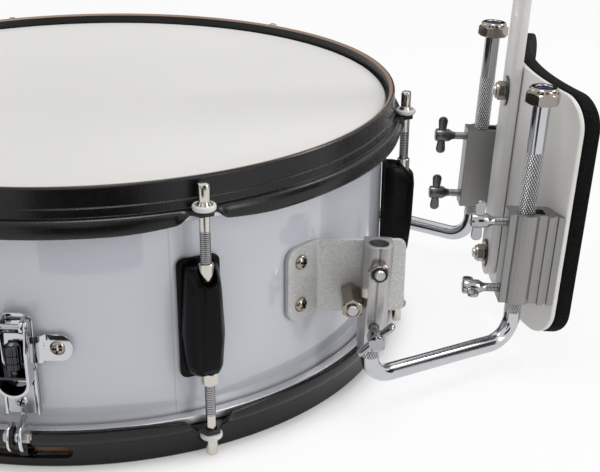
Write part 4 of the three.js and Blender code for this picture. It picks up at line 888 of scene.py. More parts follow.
# Snare strainer: base with two ears, a scoop-shaped lever with its knob, the slide and its cord clamp

strainer = Values(azimuth=-95, back=181.2, face=183, half=8.7, foot=32, top=88, corner=5, earFace=178.3,
                  earStart=12.5, earEnd=27, earHalf=7.5, earMiddle=68, screwSide=19.3, guideIn=7.3, guideTop=58,
                  guideOut=185.3, cheekIn=4.6, cheekOut=6.4, cheekReach=193.1, cheekHalf=3.4, pinOut=189.7,
                  pinHeight=84, pin=1.5, pinHalf=9.2, cap=2.1)


def makeStrainer(s):
    place = onDrum(s.azimuth)
    sheet = s.face - s.back
    piece = Piece("strainerBase", place)
    piece.add(slab(panel(-s.half, s.half, s.foot, s.top, 1, s.corner), s.back, s.face, 0.3),
              chrome, facingOut())
    for side in (1, -1):
        flip = flips[side]
        ear = slab(tab(s.earStart - 6, s.earEnd, s.earHalf), s.earFace, s.earFace + sheet, 0.35, 12)
        sliced(ear, 0, steps(s.earStart - 1.6, s.earStart + 1.9, 10))
        for vert in ear.verts:  # the joggle that brings it down onto the shell
            share = min(max((vert.co.x - s.earStart + 1.5) / 3.3, 0), 1)
            vert.co.z += (s.back - s.earFace) * (1 - share * share * (3 - 2 * share))
        piece.add(ear, chrome, flip @ facingOut(0, 0, s.earMiddle))
        onEar = facingOut(s.earFace + sheet - 0.9, side * s.screwSide, s.earMiddle)
        piece.screw(darkNickel, onEar @ turned(side * 40))
        rail = [(s.guideIn, s.foot), (s.half, s.foot), (s.half, s.guideTop, 0.5), (s.guideIn, s.guideTop)]
        guide = slab(rail, s.back, s.guideOut, 0.3)
        piece.add(guide, chrome, flip @ facingOut())
        cheek = slab(tab(s.face - 0.9, s.cheekReach, s.cheekHalf), -s.cheekOut, -s.cheekIn, 0.25)
        piece.add(cheek, chrome, flip @ facingLeft(0, 0, s.pinHeight))
    piece.done("drum", "strainer_chrome", "strainer_base")
    end = [(s.pin, s.pinHalf - 0.6), (s.cap, s.pinHalf - 0.6), (s.cap, s.pinHalf - 0.3),
           (s.cap - 0.7, s.pinHalf), (0, s.pinHalf)]
    pin = lathe([(radius, -height) for radius, height in reversed(end)] + end, 24)
    Piece("strainerPin", place).add(pin, zinc, facingLeft(s.pinOut, 0, s.pinHeight)).done(
        "drum", "strainer_chrome", "strainer_pin")


lever = Values(half=8.5, foot=-36, wall=1.4, back=-4.2, front=6.8, eye=3.9, shoulder=-5, rimCut=-11, deck=-25.5,
               deckOut=6, stemHole=1.9)
knob = Values(radius=4.2, low=-22, high=-9, out=1.8, notches=14, notch=0.5, stem=1.5, stemLow=-29,
              stemHigh=-8.5, pitch=0.7, thread=0.2)


def makeLever(v):
    def trough(half, foot, top, low, high):
        return placed(slab(panel(-half, half, foot, top, half * 0.98, 0), low, high, 0, 10), facingOut())

    inner = v.half - v.wall
    body = trough(v.half, v.foot, v.eye, v.back, v.front)
    hollow = trough(inner, v.foot + v.wall, v.eye + 2, v.back + v.wall, v.front + 2)
    gap = placed(slab(roundRect(inner, -v.shoulder, 0.2), v.back - 2, v.front), facingOut())
    eye = v.eye
    keep = placed(slab([(v.back - 1, v.foot - 2), (v.front + 0.5, v.foot - 2), (v.front, v.rimCut, eye),
                        (eye, 0, eye), (eye, eye, eye * 0.98), (-eye, eye, eye * 0.98), (-eye, v.shoulder),
                        (v.back - 1, v.shoulder - 0.3)], -v.half - 2, v.half + 2), facingLeft())
    channel = soften(worked("INTERSECT", cut(body, hollow, gap), keep), 0.35, 2, 50)
    deck = placed(slab(roundRect(inner + 0.5, v.wall / 2, 0.2), v.back + 0.8, v.deckOut),
                  facingOut(0, 0, v.deck))
    deck = cut(deck, placed(post(v.stemHole, v.deck - 3, v.deck + 3), moved(knob.out, 0, 0)))

    # the faces inside the lever's hollow are given black chrome as painted shade
    def inside(face):
        x, y, z = face.calc_center_median()
        return abs(y) < inner + 0.05 and face.normal.x < 0.98 and z < 0 and x > v.back + 0.5

    place = onDrum(strainer.azimuth) @ moved(strainer.pinOut, 0, strainer.pinHeight)
    Piece("strainerLever", place).add(channel, chrome, None, blackChrome, inside).add(deck, blackChrome).done(
        "lever", "strainer_chrome", "strainer_lever", sharp=40)


def makeKnob(k):
    wheel = lathe([(0, k.low)] + [(k.radius - inset, height) for inset, height in (
        (0.8, k.low), (0, k.low + 0.8), (0, k.low + 3.4), (0.7, k.low + 4), (0, k.low + 4.6),
        (0, k.low + 7.6), (0.7, k.low + 8.2), (0, k.low + 8.8), (0, k.high - 0.8), (0.8, k.high))]
        + [(0, k.high)], 84)
    tools = [placed(post(k.notch * 1.3, k.low - 1, k.high + 1, sides=10),
                    turned(360 * turn / k.notches) @ moved(k.radius + k.notch * 0.4, 0, 0))
             for turn in range(k.notches)]
    place = onDrum(strainer.azimuth) @ moved(strainer.pinOut + k.out, 0, strainer.pinHeight)
    piece = Piece("strainerKnob", place).add(cut(wheel, together(*tools)), blackChrome)
    piece.add(threaded(k.stem, k.stemLow, k.stemHigh, k.pitch, k.thread, 16), zinc).done(
        "knob", "strainer_chrome", "strainer_knob")


slide = Values(half=7, back=183.3, front=185.1, low=33, high=50, screw=40, tongueHalf=1.1, tongueBack=183.3,
               clampOut=198, clampHeight=27)
cordClamp = Values(disc=7.5, discIn=2.4, discOut=4, nut=3, nutOut=6.6, nutIn=3.2, shaft=1.8, half=6.4,
                   roller=5.2)


def makeSlide(s):
    place = onDrum(strainer.azimuth)
    plate = slab(roundRect(s.half, (s.high - s.low) / 2, 1.2), s.back, s.front, 0.35)
    piece = Piece("strainerSlide", place).add(plate, zinc, facingOut(0, 0, (s.low + s.high) / 2))
    piece.screw(zinc, facingOut(s.front - 0.4, 0, s.screw) @ turned(25), 3.4, 2.1)
    tongue = slab([(s.tongueBack, s.low + 3), (s.front, s.low + 3), (s.front, s.low - 0.5, 1.5),
                   (s.clampOut + 3, s.clampHeight + 2, 2.4), (s.clampOut + 3, s.clampHeight - 2.5, 2.4),
                   (s.clampOut - 3.5, s.clampHeight - 2.5, 2), (s.tongueBack, s.low - 3.5, 1)],
                  -s.tongueHalf, s.tongueHalf, 0.3)
    piece.add(tongue, zinc, facingLeft())
    piece.done("slide", "strainer_chrome", "strainer_slide")


def makeCordClamp(c):
    place = onDrum(strainer.azimuth) @ moved(slide.clampOut, 0, slide.clampHeight)
    piece = Piece("cordClamp", place)
    for side in (1, -1):
        flip = flips[side]
        disc = latheRing([(c.shaft + 0.05, c.discIn), (c.disc, c.discIn, 0.5), (c.disc, c.discOut - 0.5, 0.5),
                          (c.disc - 1.2, c.discOut, 0.3), (c.shaft + 0.05, c.discOut)], 48)
        piece.add(disc, chrome, flip @ facingRight())
        piece.add(nut(c.nut * 1.73, c.nutIn, c.nutOut), zinc, flip @ facingRight())
        sleeve = latheRing([(c.shaft + 0.05, slide.tongueHalf + 0.25), (c.roller, slide.tongueHalf + 0.25, 0.4),
                            (c.roller, c.discIn, 0.2), (c.shaft + 0.05, c.discIn)], 36)
        piece.add(sleeve, rubber, flip @ facingRight())
    shaft = lathe([(0, -c.half), (c.shaft - 0.3, -c.half), (c.shaft, -c.half + 0.3),
                   (c.shaft, c.half + 0.5), (c.shaft - 0.5, c.half + 1), (0, c.half + 1)], 20)
    piece.add(shaft, copper, facingRight())
    piece.done("slide", "strainer_chrome", "cord_clamp")


butt = Values(azimuth=85, back=178.3, face=180.3, half=16, low=29, high=63, corner=5, blockHalf=12, blockLow=33,
              blockHigh=47, blockOut=190.4, screwSide=10.5, screwHeight=55, clampSide=7.5, clampHeight=40,
              post=1.5, hole=1.8, barBack=192, barFront=194, barLow=35, barHigh=45)


def makeButt(b):
    place = onDrum(b.azimuth)
    middle = (b.low + b.high) / 2
    piece = Piece("buttPlate", place)
    piece.add(slab(roundRect(b.half, (b.high - b.low) / 2, b.corner), b.back, b.face, 0.4), chrome,
              facingOut(0, 0, middle))
    block = slab(roundRect(b.blockHalf, (b.blockHigh - b.blockLow) / 2, 2.4), b.face - 0.5, b.blockOut, 0.6)
    piece.add(block, chrome, facingOut(0, 0, (b.blockLow + b.blockHigh) / 2))
    for side in (1, -1):
        piece.screw(darkNickel, facingOut(b.face - 0.4, side * b.screwSide, b.screwHeight) @ turned(side * 20))
        piece.screw(zinc, facingOut(b.barFront + 0.3, side * b.clampSide, b.clampHeight) @ turned(30), 3, 2.2)
        piece.add(post(b.post, b.blockOut - 1, b.barFront + 1, sides=16), zinc,
                  facingOut(0, side * b.clampSide, b.clampHeight))
    piece.done("drum", "strainer_chrome", "butt_plate")
    bar = slab(roundRect(b.blockHalf, (b.barHigh - b.barLow) / 2, 2.4), b.barBack, b.barFront, 0.4)
    holes = [placed(post(b.hole, b.barBack - 1, b.barFront + 1, sides=16), facingOut(0, side * b.clampSide, 0))
             for side in (1, -1)]
    Piece("buttBar", place).add(cut(bar, *holes), chrome, facingOut(0, 0, b.clampHeight)).done(
        "drum", "strainer_chrome", "butt_bar")


snares = Values(tapeHalf=2, tapeThick=1, strands=20, pitch=2, radius=0.85, reach=151, height=4.45, plateIn=147,
                plateOut=163, plateHalf=21.5, plateLow=4.3, plateHigh=5.3)
tapeRoute = [(191.2, 11.5), (186.5, 8.9), (182.2, 7.3), (176, 3.4), (156, 3.4)]


def makeTape(name, node, azimuth, top, s):
    route = [(tapeRoute[0][0], top)] + tapeRoute
    section = [(x, z, 1.2) for x, z in route[1:-1]]
    under = [(x - s.tapeThick * (0.7 if index < 2 else 0.2), z - s.tapeThick * (0.4 if index < 2 else 1), 0.8)
             for index, (x, z) in enumerate(route[1:-1])]
    strip = slab([route[0]] + section + [route[-1]] + [(route[-1][0], route[-1][1] - s.tapeThick)]
                 + under[::-1] + [(route[0][0] - s.tapeThick, route[0][1])], -s.tapeHalf, s.tapeHalf, 0.15, 4)
    Piece(name, onDrum(azimuth)).add(strip, tape, facingLeft()).done("drum", "tape_black", node)


def makeWires(s):
    piece = Piece("snareWires", onDrum(strainer.azimuth))
    for turn in range(s.strands):
        side = (turn - (s.strands - 1) / 2) * s.pitch
        beads = int(2 * s.reach / 3)
        coil = []
        for bead in range(beads):
            start = -s.reach + bead * 3
            coil += [(s.radius - 0.2, start), (s.radius, start + 1.5)]
        piece.add(lathe([(0, -s.reach)] + coil + [(s.radius - 0.2, s.reach), (0, s.reach)], 6), snareSteel,
                  facingOut(0, side, s.height))
    for end in (1, -1):
        middle = end * (s.plateIn + s.plateOut) / 2
        plate = slab(roundRect((s.plateOut - s.plateIn) / 2, s.plateHalf, 2), s.plateLow, s.plateHigh, 0.2)
        piece.add(plate, zinc, moved(middle, 0, 0))
    piece.done("drum", "rod_nickel", "snare_wires")


makeStrainer(strainer)
makeLever(lever)
makeKnob(knob)
makeSlide(slide)
makeCordClamp(cordClamp)
makeButt(butt)
makeTape("tapeThrow", "snare_tape_throw", strainer.azimuth, 27, snares)
makeTape("tapeButt", "snare_tape_butt", butt.azimuth, 46, snares)
makeWires(snares)
print("strainer, butt and snares made")


def rounded(points, radius, count=10):  # a path whose corners are arcs
    path = [Vector(points[0])]
    for before, corner, after in zip(points, points[1:], points[2:]):
        before, corner, after = Vector(before), Vector(corner), Vector(after)
        a, b = (before - corner).normalized(), (after - corner).normalized()
        half = a.angle(b) / 2
        centre = corner + (a + b).normalized() * (radius / sin(half))
        first = corner + a * (radius / tan(half)) - centre
        last = corner + b * (radius / tan(half)) - centre
        sweep = first.angle(last)
        for index in range(count + 1):
            share = index / count
            path.append(centre + (first * sin((1 - share) * sweep) + last * sin(share * sweep)) / sin(sweep))
    return path + [Vector(points[-1])]


def pipe(path, radius, sides=40):  # round bar along a path, its ends eased
    side = Vector((0, 0, 1)).cross(path[1] - path[0])
    if side.length < 0.001:
        side = Vector((1, 0, 0))
    rings = []
    for index, point in enumerate(path):
        after, before = path[min(index + 1, len(path) - 1)], path[max(index - 1, 0)]
        ahead = ((after - point).normalized() + (point - before).normalized()).normalized()
        side = (side - ahead * side.dot(ahead)).normalized()
        other = ahead.cross(side)
        ring = [point + (side * cos(turn) + other * sin(turn)) * radius
                for turn in (2 * pi * step / sides for step in range(sides))]
        if index == 0:
            rings.append([point + (at - point) * 0.88 - ahead * 0.6 for at in ring])
        rings.append(ring)
        if index == len(path) - 1:
            rings.append([point + (at - point) * 0.88 + ahead * 0.6 for at in ring])
    return loft(rings)


# Brackets: one sheet, its flange on the shell and its plate carrying the pivot, folded from the flat

bracket = Values(azimuth=45.005, face=180.9, sheet=2.6, low=58, high=100, end=-13.5, corner=7, meet=9.05,
                 length=47.2, plateCorner=4.5, bendRadius=2, screwAlong=-4, screwRise=12.4, plane=121.53,
                 pivotX=165.5056, pivotZ=90, hole=3.3, slotFrom=-3, slotTo=24)
bolt = Values(radius=3, flats=10, headLow=114.63, headHigh=118.63, nutLow=138.93, nutHigh=144.93, crown=0.7,
              end=146.93, pitch=0.8, thread=0.25)
stop = Values(u=-12.7, w=-20.9, shaftFoot=118.2, low=121.83, high=144.33, end=146.33)


def makeBracket(side, b):
    flip = still if side == "left" else mirrored
    middle, half = (b.low + b.high) / 2, (b.high - b.low) / 2
    turn = radians(b.azimuth)
    start = b.meet - b.bendRadius * tan(turn / 2)
    arc = b.bendRadius * turn
    end = start + arc + b.length - (b.meet - start)
    sheet = slab([(b.end, -half, b.corner), (end, -half, b.plateCorner),
                  (end, half, b.plateCorner), (b.end, half, b.corner)], -b.sheet, 0, 0.45, 10)
    sliced(sheet, 0, steps(start, start + arc, 6))
    for vert in sheet.verts:
        past = vert.co.x - start
        if past > 0:
            angle, depth = min(past / b.bendRadius, turn), b.bendRadius - vert.co.z
            rest = max(past - arc, 0)
            vert.co.x = start + depth * sin(angle) + rest * cos(angle)
            vert.co.z = b.bendRadius - depth * cos(angle) + rest * sin(angle)
    onFlange = axes((0, 0, middle), (sin(turn), cos(turn), 0), (0, 0, 1)) @ moved(0, 0, b.face)
    placed(sheet, onFlange)
    lean = onCarrier().to_3x3() @ Vector((stop.u, 0, stop.w)) / mm
    reach, first = hypot(lean.x, lean.z), degrees(atan2(lean.z, lean.x))
    outer = [(reach + b.hole, first + angle) for angle in steps(b.slotFrom, b.slotTo, 8)]
    inner = [(reach - b.hole, first + angle) for angle in steps(b.slotTo, b.slotFrom, 8)]
    slot = [(r * cos(radians(a)), r * sin(radians(a))) for r, a in outer + inner]
    ends = [post(b.hole, b.plane - 8, b.plane + 8, sides=24) for _ in range(2)]
    for tool, sweep in zip(ends, (b.slotFrom, b.slotTo)):
        angle = radians(first + sweep)
        placed(tool, moved(reach * cos(angle), reach * sin(angle), 0))
    tools = [slab(slot, b.plane - 8, b.plane + 8), *ends, post(b.hole, b.plane - 8, b.plane + 8)]
    sheet = cut(sheet, *[placed(tool, facingLeft(b.pivotX, 0, b.pivotZ)) for tool in tools])
    piece = Piece("bracket" + side.title(), onDrum() @ flip).add(sheet, sparkle)
    for rise in (1, -1):
        piece.screw(darkNickel, onFlange @ moved(b.screwAlong, rise * b.screwRise, 0) @ turned(20 * rise + 8))
    piece.done("drum", "bracket_sparkle", "bracket_" + side)


def lockRing(outer, inner, low, high):  # the nylon ring a stud has been driven through
    return latheRing([(inner, low), (outer, low), (outer, high - 0.3, 0.25), (outer - 0.4, high),
                      (inner, high - 0.2)], 32)


def makePivotBolt(side, b):
    piece = sided("pivotBolt", side)
    piece.add(hexBar(b.flats, b.headLow, b.headHigh, 0.4), darkNickel, facingRight())
    piece.add(threaded(b.radius, b.headHigh - 1, b.end, b.pitch, b.thread, 24), zinc, facingRight() @ upEnd(b))
    piece.add(nut(b.flats, b.nutLow, b.nutHigh - 1.6, b.radius - 0.1), darkNickel, facingRight())
    collar = latheRing([(b.radius + 0.9, b.nutHigh - 2), (b.flats / 2 - 0.1, b.nutHigh - 2),
                        (b.flats / 2 - 0.3, b.nutHigh - 0.2, 0.5),
                        (b.radius + 1.1, b.nutHigh + b.crown, 0.4)], 32)
    piece.add(collar, darkNickel, facingRight())
    piece.add(lockRing(b.radius + 1, b.radius, b.nutHigh - 2, b.nutHigh + b.crown - 0.3), rubber,
              facingRight())
    piece.done("drum", "carrier_chrome", "pivot_bolt_" + side)


def upEnd(b):  # a threaded shape is drawn with its tip down; this turns it tip up
    return moved(0, 0, b.headHigh - 1 + b.end) @ turned(180, "X")


def makeStop(side, s):
    piece = sided("tiltStop", side, moved(s.u, 0, s.w))
    body = hexBar(bolt.flats, s.low, s.high, 0)
    ease = lathe([(0, s.low), (5, s.low), (5.85, s.low + 0.5), (5.85, s.high - 0.6), (4.9, s.high),
                  (0, s.high)], 48)
    body = worked("INTERSECT", placed(body, turned(30)), ease)
    body = cut(body, post(4, s.high - 1.2, s.high + 1))
    piece.add(body, darkNickel, facingRight())
    piece.add(lathe([(0, s.shaftFoot), (bolt.radius, s.shaftFoot), (bolt.radius, s.end - 0.5),
                     (bolt.radius - 0.5, s.end), (0, s.end)], 28), zinc, facingRight())
    piece.add(hexBar(bolt.flats, bolt.headLow, bolt.headHigh, 0.4), darkNickel, facingRight())
    piece.done("stops", "carrier_chrome", "tilt_stop_" + side)


tube = Values(back=121.83, half=7.4, depth=16.8, bore=5.3, boreAt=9.2, low=-48.5, high=12, frontHalf=4.6,
              chamfer=4, grooveHalf=0.7, groove=0.8, stepAt=3, step=0.6, screwAt=-34, screwHole=2.9,
              pivotHole=3.3)


def makeTube(side, t):
    half = [(t.half, 0, 0.3), (t.half, t.stepAt - t.step), (t.half - t.step, t.stepAt),
            (t.half, t.stepAt + t.step), (t.half, t.depth - t.chamfer, 0.6),
            (t.frontHalf, t.depth, 0.6), (t.grooveHalf, t.depth, 0.2), (0, t.depth - t.groove)]
    corners = half + [(-corner[0], *corner[1:]) for corner in half[-2::-1]]
    body = slab([(x, y + t.back, *radius) for x, y, *radius in corners], t.low, t.high, 0.15, 3)
    bore = placed(post(t.bore, t.low - 1, t.high + 1, sides=48), moved(0, t.back + t.boreAt, 0))
    pivot = placed(post(t.pivotHole, t.back - 1, t.back + t.depth + 1), facingRight())
    screw = placed(post(t.screwHole, t.back + t.boreAt, t.back + t.depth + 1), facingRight(0, 0, t.screwAt))
    piece = sided("clampTube", side)
    piece.add(cut(body, bore, pivot, screw), satinTube).done("tubes", "tube_satin", "clamp_tube_" + side)


def makeJRod(side, j):
    path = rounded([(0, j.tube, j.short - 0.6), (0, j.tube, j.low), (j.reach, j.inset, j.low),
                    (j.reach, j.inset, j.nut[1] - 3)], j.bend, 12)
    bar = sliced(pipe(path, j.radius), 2, (knurl.high, knurl.low))
    piece = sided("jRod", side)

    def isKnurled(face):
        x, y, z = face.calc_center_median()
        return knurl.low < z < knurl.high and x > j.reach / 2 and face.normal.z < 0.5

    piece.add(bar, rodChrome, None, knurledLong[side], isKnurled)
    sleeve = latheRing([(j.radius - 0.5, knurl.shortFoot), (j.radius + 0.04, knurl.shortFoot),
                        (j.radius + 0.04, j.short - 3), (j.radius - 0.5, j.short - 3)], 40)
    piece.add(sleeve, knurledShort[side], moved(0, j.tube, 0))
    low, high = j.nut
    piece.add(nut(j.nutFlats, low, high - 1.6, j.radius - 0.1), nutChrome, onLeg @ turned(25))
    collar = latheRing([(j.radius + 0.2, high - 2.6), (j.nutFlats / 2 - 0.1, high - 2.6),
                        (j.nutFlats / 2 - 0.2, high + j.crown - 0.2, 1.7),
                        (j.radius - 0.9, high + j.crown, 0.8), (j.radius - 0.6, high - 0.6)], 64, 6)
    piece.add(collar, nutChrome, onLeg)
    piece.add(lockRing(j.radius + 0.2, j.radius - 1.6, high - 2.9, high - 0.1), nylonBlue, onLeg)
    piece.done("rods", "carrier_chrome", "j_rod_" + side)


clamp = Values(low=-42, high=12.5, front=10.5, inner=8.5, outer=8.2, waist=6.6, bulge=9.3, back=26,
               ribStart=11.4, ribEnd=14.6, rib=8.4, flange=3.7, bore=5.3, slotBack=10.2, slotHalf=4,
               screws=(6, -35.5), screwHole=2.9, groove=0.16)
belly = Values(centre=295.3, radius=205, plate=2.5, half=86, low=-66, high=79, corner=18, padOuter=202.2, pad=8,
               padHigh=80, crown=0.8, hole=3.6)


def makeClamp(side, c):
    plateAt = belly.centre - sqrt((belly.radius + 0.3) ** 2 - (jRod.inset + c.outer) ** 2) - jRod.reach
    start = asin(c.waist / c.bulge)
    bulge = [(c.bulge * cos(angle), c.bulge * sin(angle)) for angle in steps(start, pi - start, 22)]
    ribbed = []  # fine lines drawn by the die along the round front
    for index, (x, y) in enumerate(bulge):
        inwards = 1 - (c.groove / c.bulge if index % 4 == 2 else 0)
        ribbed.append((x * inwards, y * inwards))
    corners = [(-c.front, -c.inner, 0.5), (c.back, -c.inner), (c.back, c.outer),
               (plateAt - c.flange, c.outer, 0.4), (plateAt - c.flange, c.waist, 0.3),
               (c.ribEnd, c.waist, 0.3), (c.ribEnd, c.rib, 0.4), (c.ribStart, c.rib, 0.4),
               (c.ribStart, c.waist, 0.2)] + ribbed + [(-c.front, c.waist, 0.5)]
    body = placed(slab(corners, c.low, c.high, 0, 3), onLeg)
    tools = [placed(post(c.bore, c.low - 1, c.high + 1, sides=48), onLeg),
             placed(slab(roundRect(c.slotBack / 2, c.slotHalf, 0.6), c.low - 1, c.high + 1),
                    moved(jRod.reach + c.slotBack / 2, jRod.inset, 0)),
             placed(post(belly.radius + 0.3, c.low - 1, c.high + 1, sides=256), moved(belly.centre, 0, 0))]
    tools += [placed(post(c.screwHole, 0, c.front + 1), facingIn(jRod.reach, jRod.inset, height))
              for height in c.screws]
    piece = sided("rodClamp", side)
    piece.add(cut(body, *tools), satinClamp).done("carrier", "tube_satin", "rod_clamp_" + side)


wing = Values(shank=2.5, hub=4.3, hubLength=12.5, neck=3, reach=12.8, half=3.5, thick=2.4, corner=2.9,
              waist=2.6, pitch=0.8, thread=0.3, tubeSeat=136.33, tubeLength=8, clampSeat=83, clampLength=13.6)
screwTurns = {"upper_left": 8, "lower_left": 90}  # as the photograph shows them


def makeWing(name, node, side, length, place, w):
    neck, end = length + w.neck, length + w.hubLength
    hub = lathe([(0, length - 1), (w.shank, length - 1), (w.shank + 0.2, length + 0.4),
                 (w.hub - 0.4, neck - 0.5), (w.hub, neck + 0.3), (w.hub, end - 1), (w.hub - 0.3, end - 0.35),
                 (w.hub - 1.1, end), (0, end)], 32)
    edge = [(w.reach, w.half, w.corner), (w.hub, w.waist, 3)]
    edge += [(-x, y, radius) for x, y, radius in reversed(edge)]
    paddle = slab([(-x, -y, radius) for x, y, radius in edge] + edge, -w.thick / 2, w.thick / 2, 0.7, 6)
    whole = merged(hub, placed(paddle, facingLeft(0, 0, (neck + end) / 2)))
    piece = Piece(name, onCarrier() @ flips[side] @ place).add(whole, wingChrome[side])
    piece.add(threaded(w.shank, 0, length - 0.5, w.pitch, w.thread), zinc, None, threadShade, inGroove(w.shank))
    piece.done(node, "carrier_chrome", node)


for side in ("left", "right"):
    makeBracket(side, bracket)
    makePivotBolt(side, bolt)
    makeStop(side, stop)
    makeTube(side, tube)
    makeJRod(side, jRod)
    makeClamp(side, clamp)
    title = side.title()
    makeWing("tubeScrew" + title, "tube_screw_" + side, side, wing.tubeLength,
             axes((0, wing.tubeSeat, tube.screwAt), (1, 0, 1), (1, 0, -1)), wing)
    for row, height in zip(("upper", "lower"), clamp.screws):
        turn = turned(screwTurns.get(row + "_" + side, 0))
        makeWing("clampScrew" + row.title() + title, "clamp_screw_%s_%s" % (row, side), side, wing.clampLength,
                 axes((wing.clampSeat, jRod.inset, height), (0, 0, 1), (0, 1, 0)) @ turn, wing)
print("brackets, rods, clamps and screws made")


# Carrier: spine, belly plate and pad

spine = Values(front=85, thick=5, half=15, low=-60.7, high=262, foot=14.7, corner=4.9, slotHalf=3.4,
               slotLow=105, slotHigh=250, bolts=(60.2, -47), washer=9, washerThick=1.2, headBack=93.1,
               headRadius=6.5, headHeight=2)


def throughBolt(piece, washerFront, headBack, height, s):
    reach, inner = washerFront - 6, bolt.radius - 0.1
    onNut, onHead = facingIn(washerFront, 0, height), facingOut(headBack, 0, height)
    piece.add(latheRing([(bolt.radius, 0), (s.washer, 0, 0.3), (s.washer, s.washerThick, 0.3),
                         (bolt.radius, s.washerThick)], 40), blackChrome, onNut @ moved(0, 0, -s.washerThick))
    piece.add(nut(bolt.flats, 0, 4.4, inner), darkNickel, onNut @ turned(12))
    piece.add(latheRing([(inner, 4), (4.8, 4), (4.7, 5.6, 0.4), (inner, 6, 0.3)], 32), darkNickel, onNut)
    piece.add(post(bolt.radius, 0, headBack - reach + 1.2, 0.4), zinc, facingIn(headBack, 0, height))
    piece.add(lathe([(0, s.headHeight), (3.4, s.headHeight * 0.96), (5.4, s.headHeight * 0.62),
                     (s.headRadius, 0.3), (s.headRadius, -0.1), (0, -0.1)], 36), nickel, onHead)


def makeSpine(s):
    bar = slab(panel(-s.half, s.half, s.low, s.high, s.foot, s.corner),
               s.front, s.front + s.thick, 0.9, 12)
    slot = slab(roundRect(s.slotHalf, (s.slotHigh - s.slotLow) / 2, s.slotHalf * 0.97),
                s.front - 1, s.front + s.thick + 1)
    body = cut(placed(bar, facingOut()), placed(slot, facingOut(0, 0, (s.slotLow + s.slotHigh) / 2)))
    piece = Piece("spineBar", onCarrier()).add(body, ivory)
    for height in s.bolts:
        throughBolt(piece, s.front - s.washerThick, s.headBack, height, s)
    piece.done("carrier", "carrier_white", "spine")


def curved(bm, centre, radius):  # own x across, y up, z inwards from the front, laid round an upright cylinder
    for vert in bm.verts:
        across, up, depth = vert.co
        vert.co = (centre - sqrt((radius - depth) ** 2 - across ** 2), across, up)
    bmesh.ops.recalc_face_normals(bm, faces=bm.faces)
    return bm


def makeBellyPlate(b):
    sheet = slab(panel(-b.half, b.half, b.low, b.high, b.corner), 0, b.plate, 0.6, 10)
    sliced(sheet, 0, steps(-b.half + 4, b.half - 4, 32))
    holes = [placed(post(b.hole, 80, 100), facingOut(0, 0, height)) for height in spine.bolts]
    Piece("bellyPlate", onCarrier()).add(cut(curved(sheet, b.centre, b.radius), *holes), ivory).done(
        "carrier", "carrier_white", "belly_plate")


def makeBellyPad(b):
    pad = slab(panel(-b.half, b.half, b.low, b.padHigh, b.corner), 0, b.pad, 1.6, 10)
    sliced(pad, 0, steps(-b.half + 5, b.half - 5, 40))
    sliced(pad, 1, steps(b.low + 5, b.padHigh - 5, 30))
    middle, half = (b.low + b.padHigh) / 2, (b.padHigh - b.low) / 2
    for vert in pad.verts:  # the side against the body is gently crowned
        if vert.co.z > b.pad * 0.4:
            x, y = vert.co.x / b.half, (vert.co.y - middle) / half
            vert.co.z += b.crown * max(0, 1 - x * x) * max(0, 1 - y * y)
    piece = Piece("bellyPad", onCarrier()).add(curved(pad, b.centre, b.padOuter), foam)
    piece.done("carrier", "foam_black", "belly_pad")


makeSpine(spine)
makeBellyPlate(belly)
makeBellyPad(belly)


# Shoulder yoke, which the photograph crops away: a bar on the spine and two padded bands

yoke = Values(back=90.3, sheet=4, half=15, low=150, cross=300, high=345, reach=108, corner=12, fillet=10,
              bolts=(176, 214), side=84, screws=(312, 333), capRadius=5, cap=3,
              hole=2.9)
band = Values(front=94.6, thick=4, width=42, low=299, turn=375, radius=78, backEnd=312, corner=12)
pad = Values(reach=73.7, thick=12, width=50, low=350, backEnd=318, taper=30, seam=5, groove=0.9, corner=12)


def makeYoke(y):
    half = [(y.half, y.low, y.corner), (y.half, y.cross, y.fillet), (y.reach, y.cross, y.corner),
            (y.reach, y.high, y.corner)]
    bar = slab(half + [(-x, z, radius) for x, z, radius in reversed(half)], y.back, y.back + y.sheet, 0.7, 10)
    through = (y.back - 1, y.back + y.sheet + 1)
    tools = [placed(post(y.hole, *through, sides=20), facingOut(0, side * y.side, height))
             for side in (1, -1) for height in y.screws]
    piece = Piece("yokeBar", onCarrier()).add(cut(placed(bar, facingOut()), *tools), ivory)
    for height in y.bolts:
        throughBolt(piece, spine.front - 0.3 - spine.washerThick, y.back + y.sheet, height, spine)
    piece.done("yoke", "carrier_white", "yoke_bar")


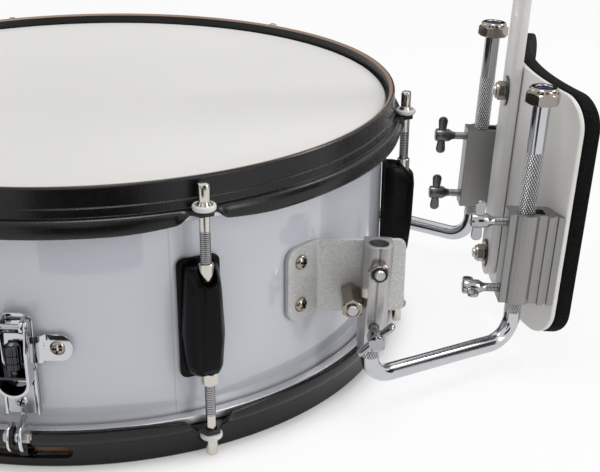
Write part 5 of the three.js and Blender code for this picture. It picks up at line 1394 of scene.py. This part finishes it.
def hooked(bm, front, radius, low, backEnd):  # own y runs up the chest, over the shoulder and down the back
    rise, arc = band.turn - low, pi * radius
    for vert in bm.verts:
        across, along, depth = vert.co
        if along < rise:
            vert.co = (front + depth, across, low + along)
        elif along < rise + arc:
            angle = pi - (along - rise) / radius
            vert.co = (front + radius + (radius - depth) * cos(angle), across,
                       band.turn + (radius - depth) * sin(angle))
        else:
            vert.co = (front + 2 * radius - depth, across, band.turn - (along - rise - arc))
    bmesh.ops.recalc_face_normals(bm, faces=bm.faces)
    return bm


def makeBand(side, b):
    length = b.turn - b.low + pi * b.radius + b.turn - b.backEnd
    half = b.width / 2
    strip = slab(panel(-half, half, 0, length, b.corner), 0, b.thick, 0.8, 8)
    sliced(strip, 1, steps(16, length - 14, 90))
    piece = sided("shoulderBand", side, moved(0, yoke.side, 0))
    piece.add(hooked(strip, b.front, b.radius, b.low, b.backEnd), ivory)
    for height in yoke.screws:
        piece.screw(darkNickel, facingIn(yoke.back - 0.3, 0, height) @ turned(30), yoke.capRadius, yoke.cap)
        piece.add(post(2.5, 0, yoke.sheet + 1.5, sides=20), zinc, facingOut(yoke.back - 0.5, 0, height))
    piece.done("yoke", "carrier_white", "shoulder_band_" + side)


def makePad(side, p):  # crowned across and along, with a sewn line inside its border
    length = band.turn - p.low + pi * p.reach + band.turn - p.backEnd
    half = p.width / 2
    cushion = slab(panel(-half, half, 0, length, p.corner), 0, p.thick * 0.5, 2.4, 8)
    sliced(cushion, 0, steps(-half + 2, half - 2, 28))
    sliced(cushion, 1, steps(2, length - 2, 130))
    for vert in cushion.verts:
        rim = min(half - abs(vert.co.x), vert.co.y, length - vert.co.y)
        if vert.co.z > 2.6:
            fill = min(max(rim - 1, 0) / p.taper * 2.4, 1)
            vert.co.z += p.thick * 0.5 * sin(fill * pi / 2)
            vert.co.z -= p.groove * exp(-((rim - p.seam) / p.groove) ** 2)
    piece = sided("shoulderPad", side, moved(0, yoke.side, 0))
    front = band.front + band.radius - p.reach
    piece.add(hooked(cushion, front, p.reach, p.low, p.backEnd), foam)
    piece.done("yoke", "foam_black", "shoulder_pad_" + side)


makeYoke(yoke)
for side in ("left", "right"):
    makeBand(side, band)
    makePad(side, pad)
print("carrier and yoke made")
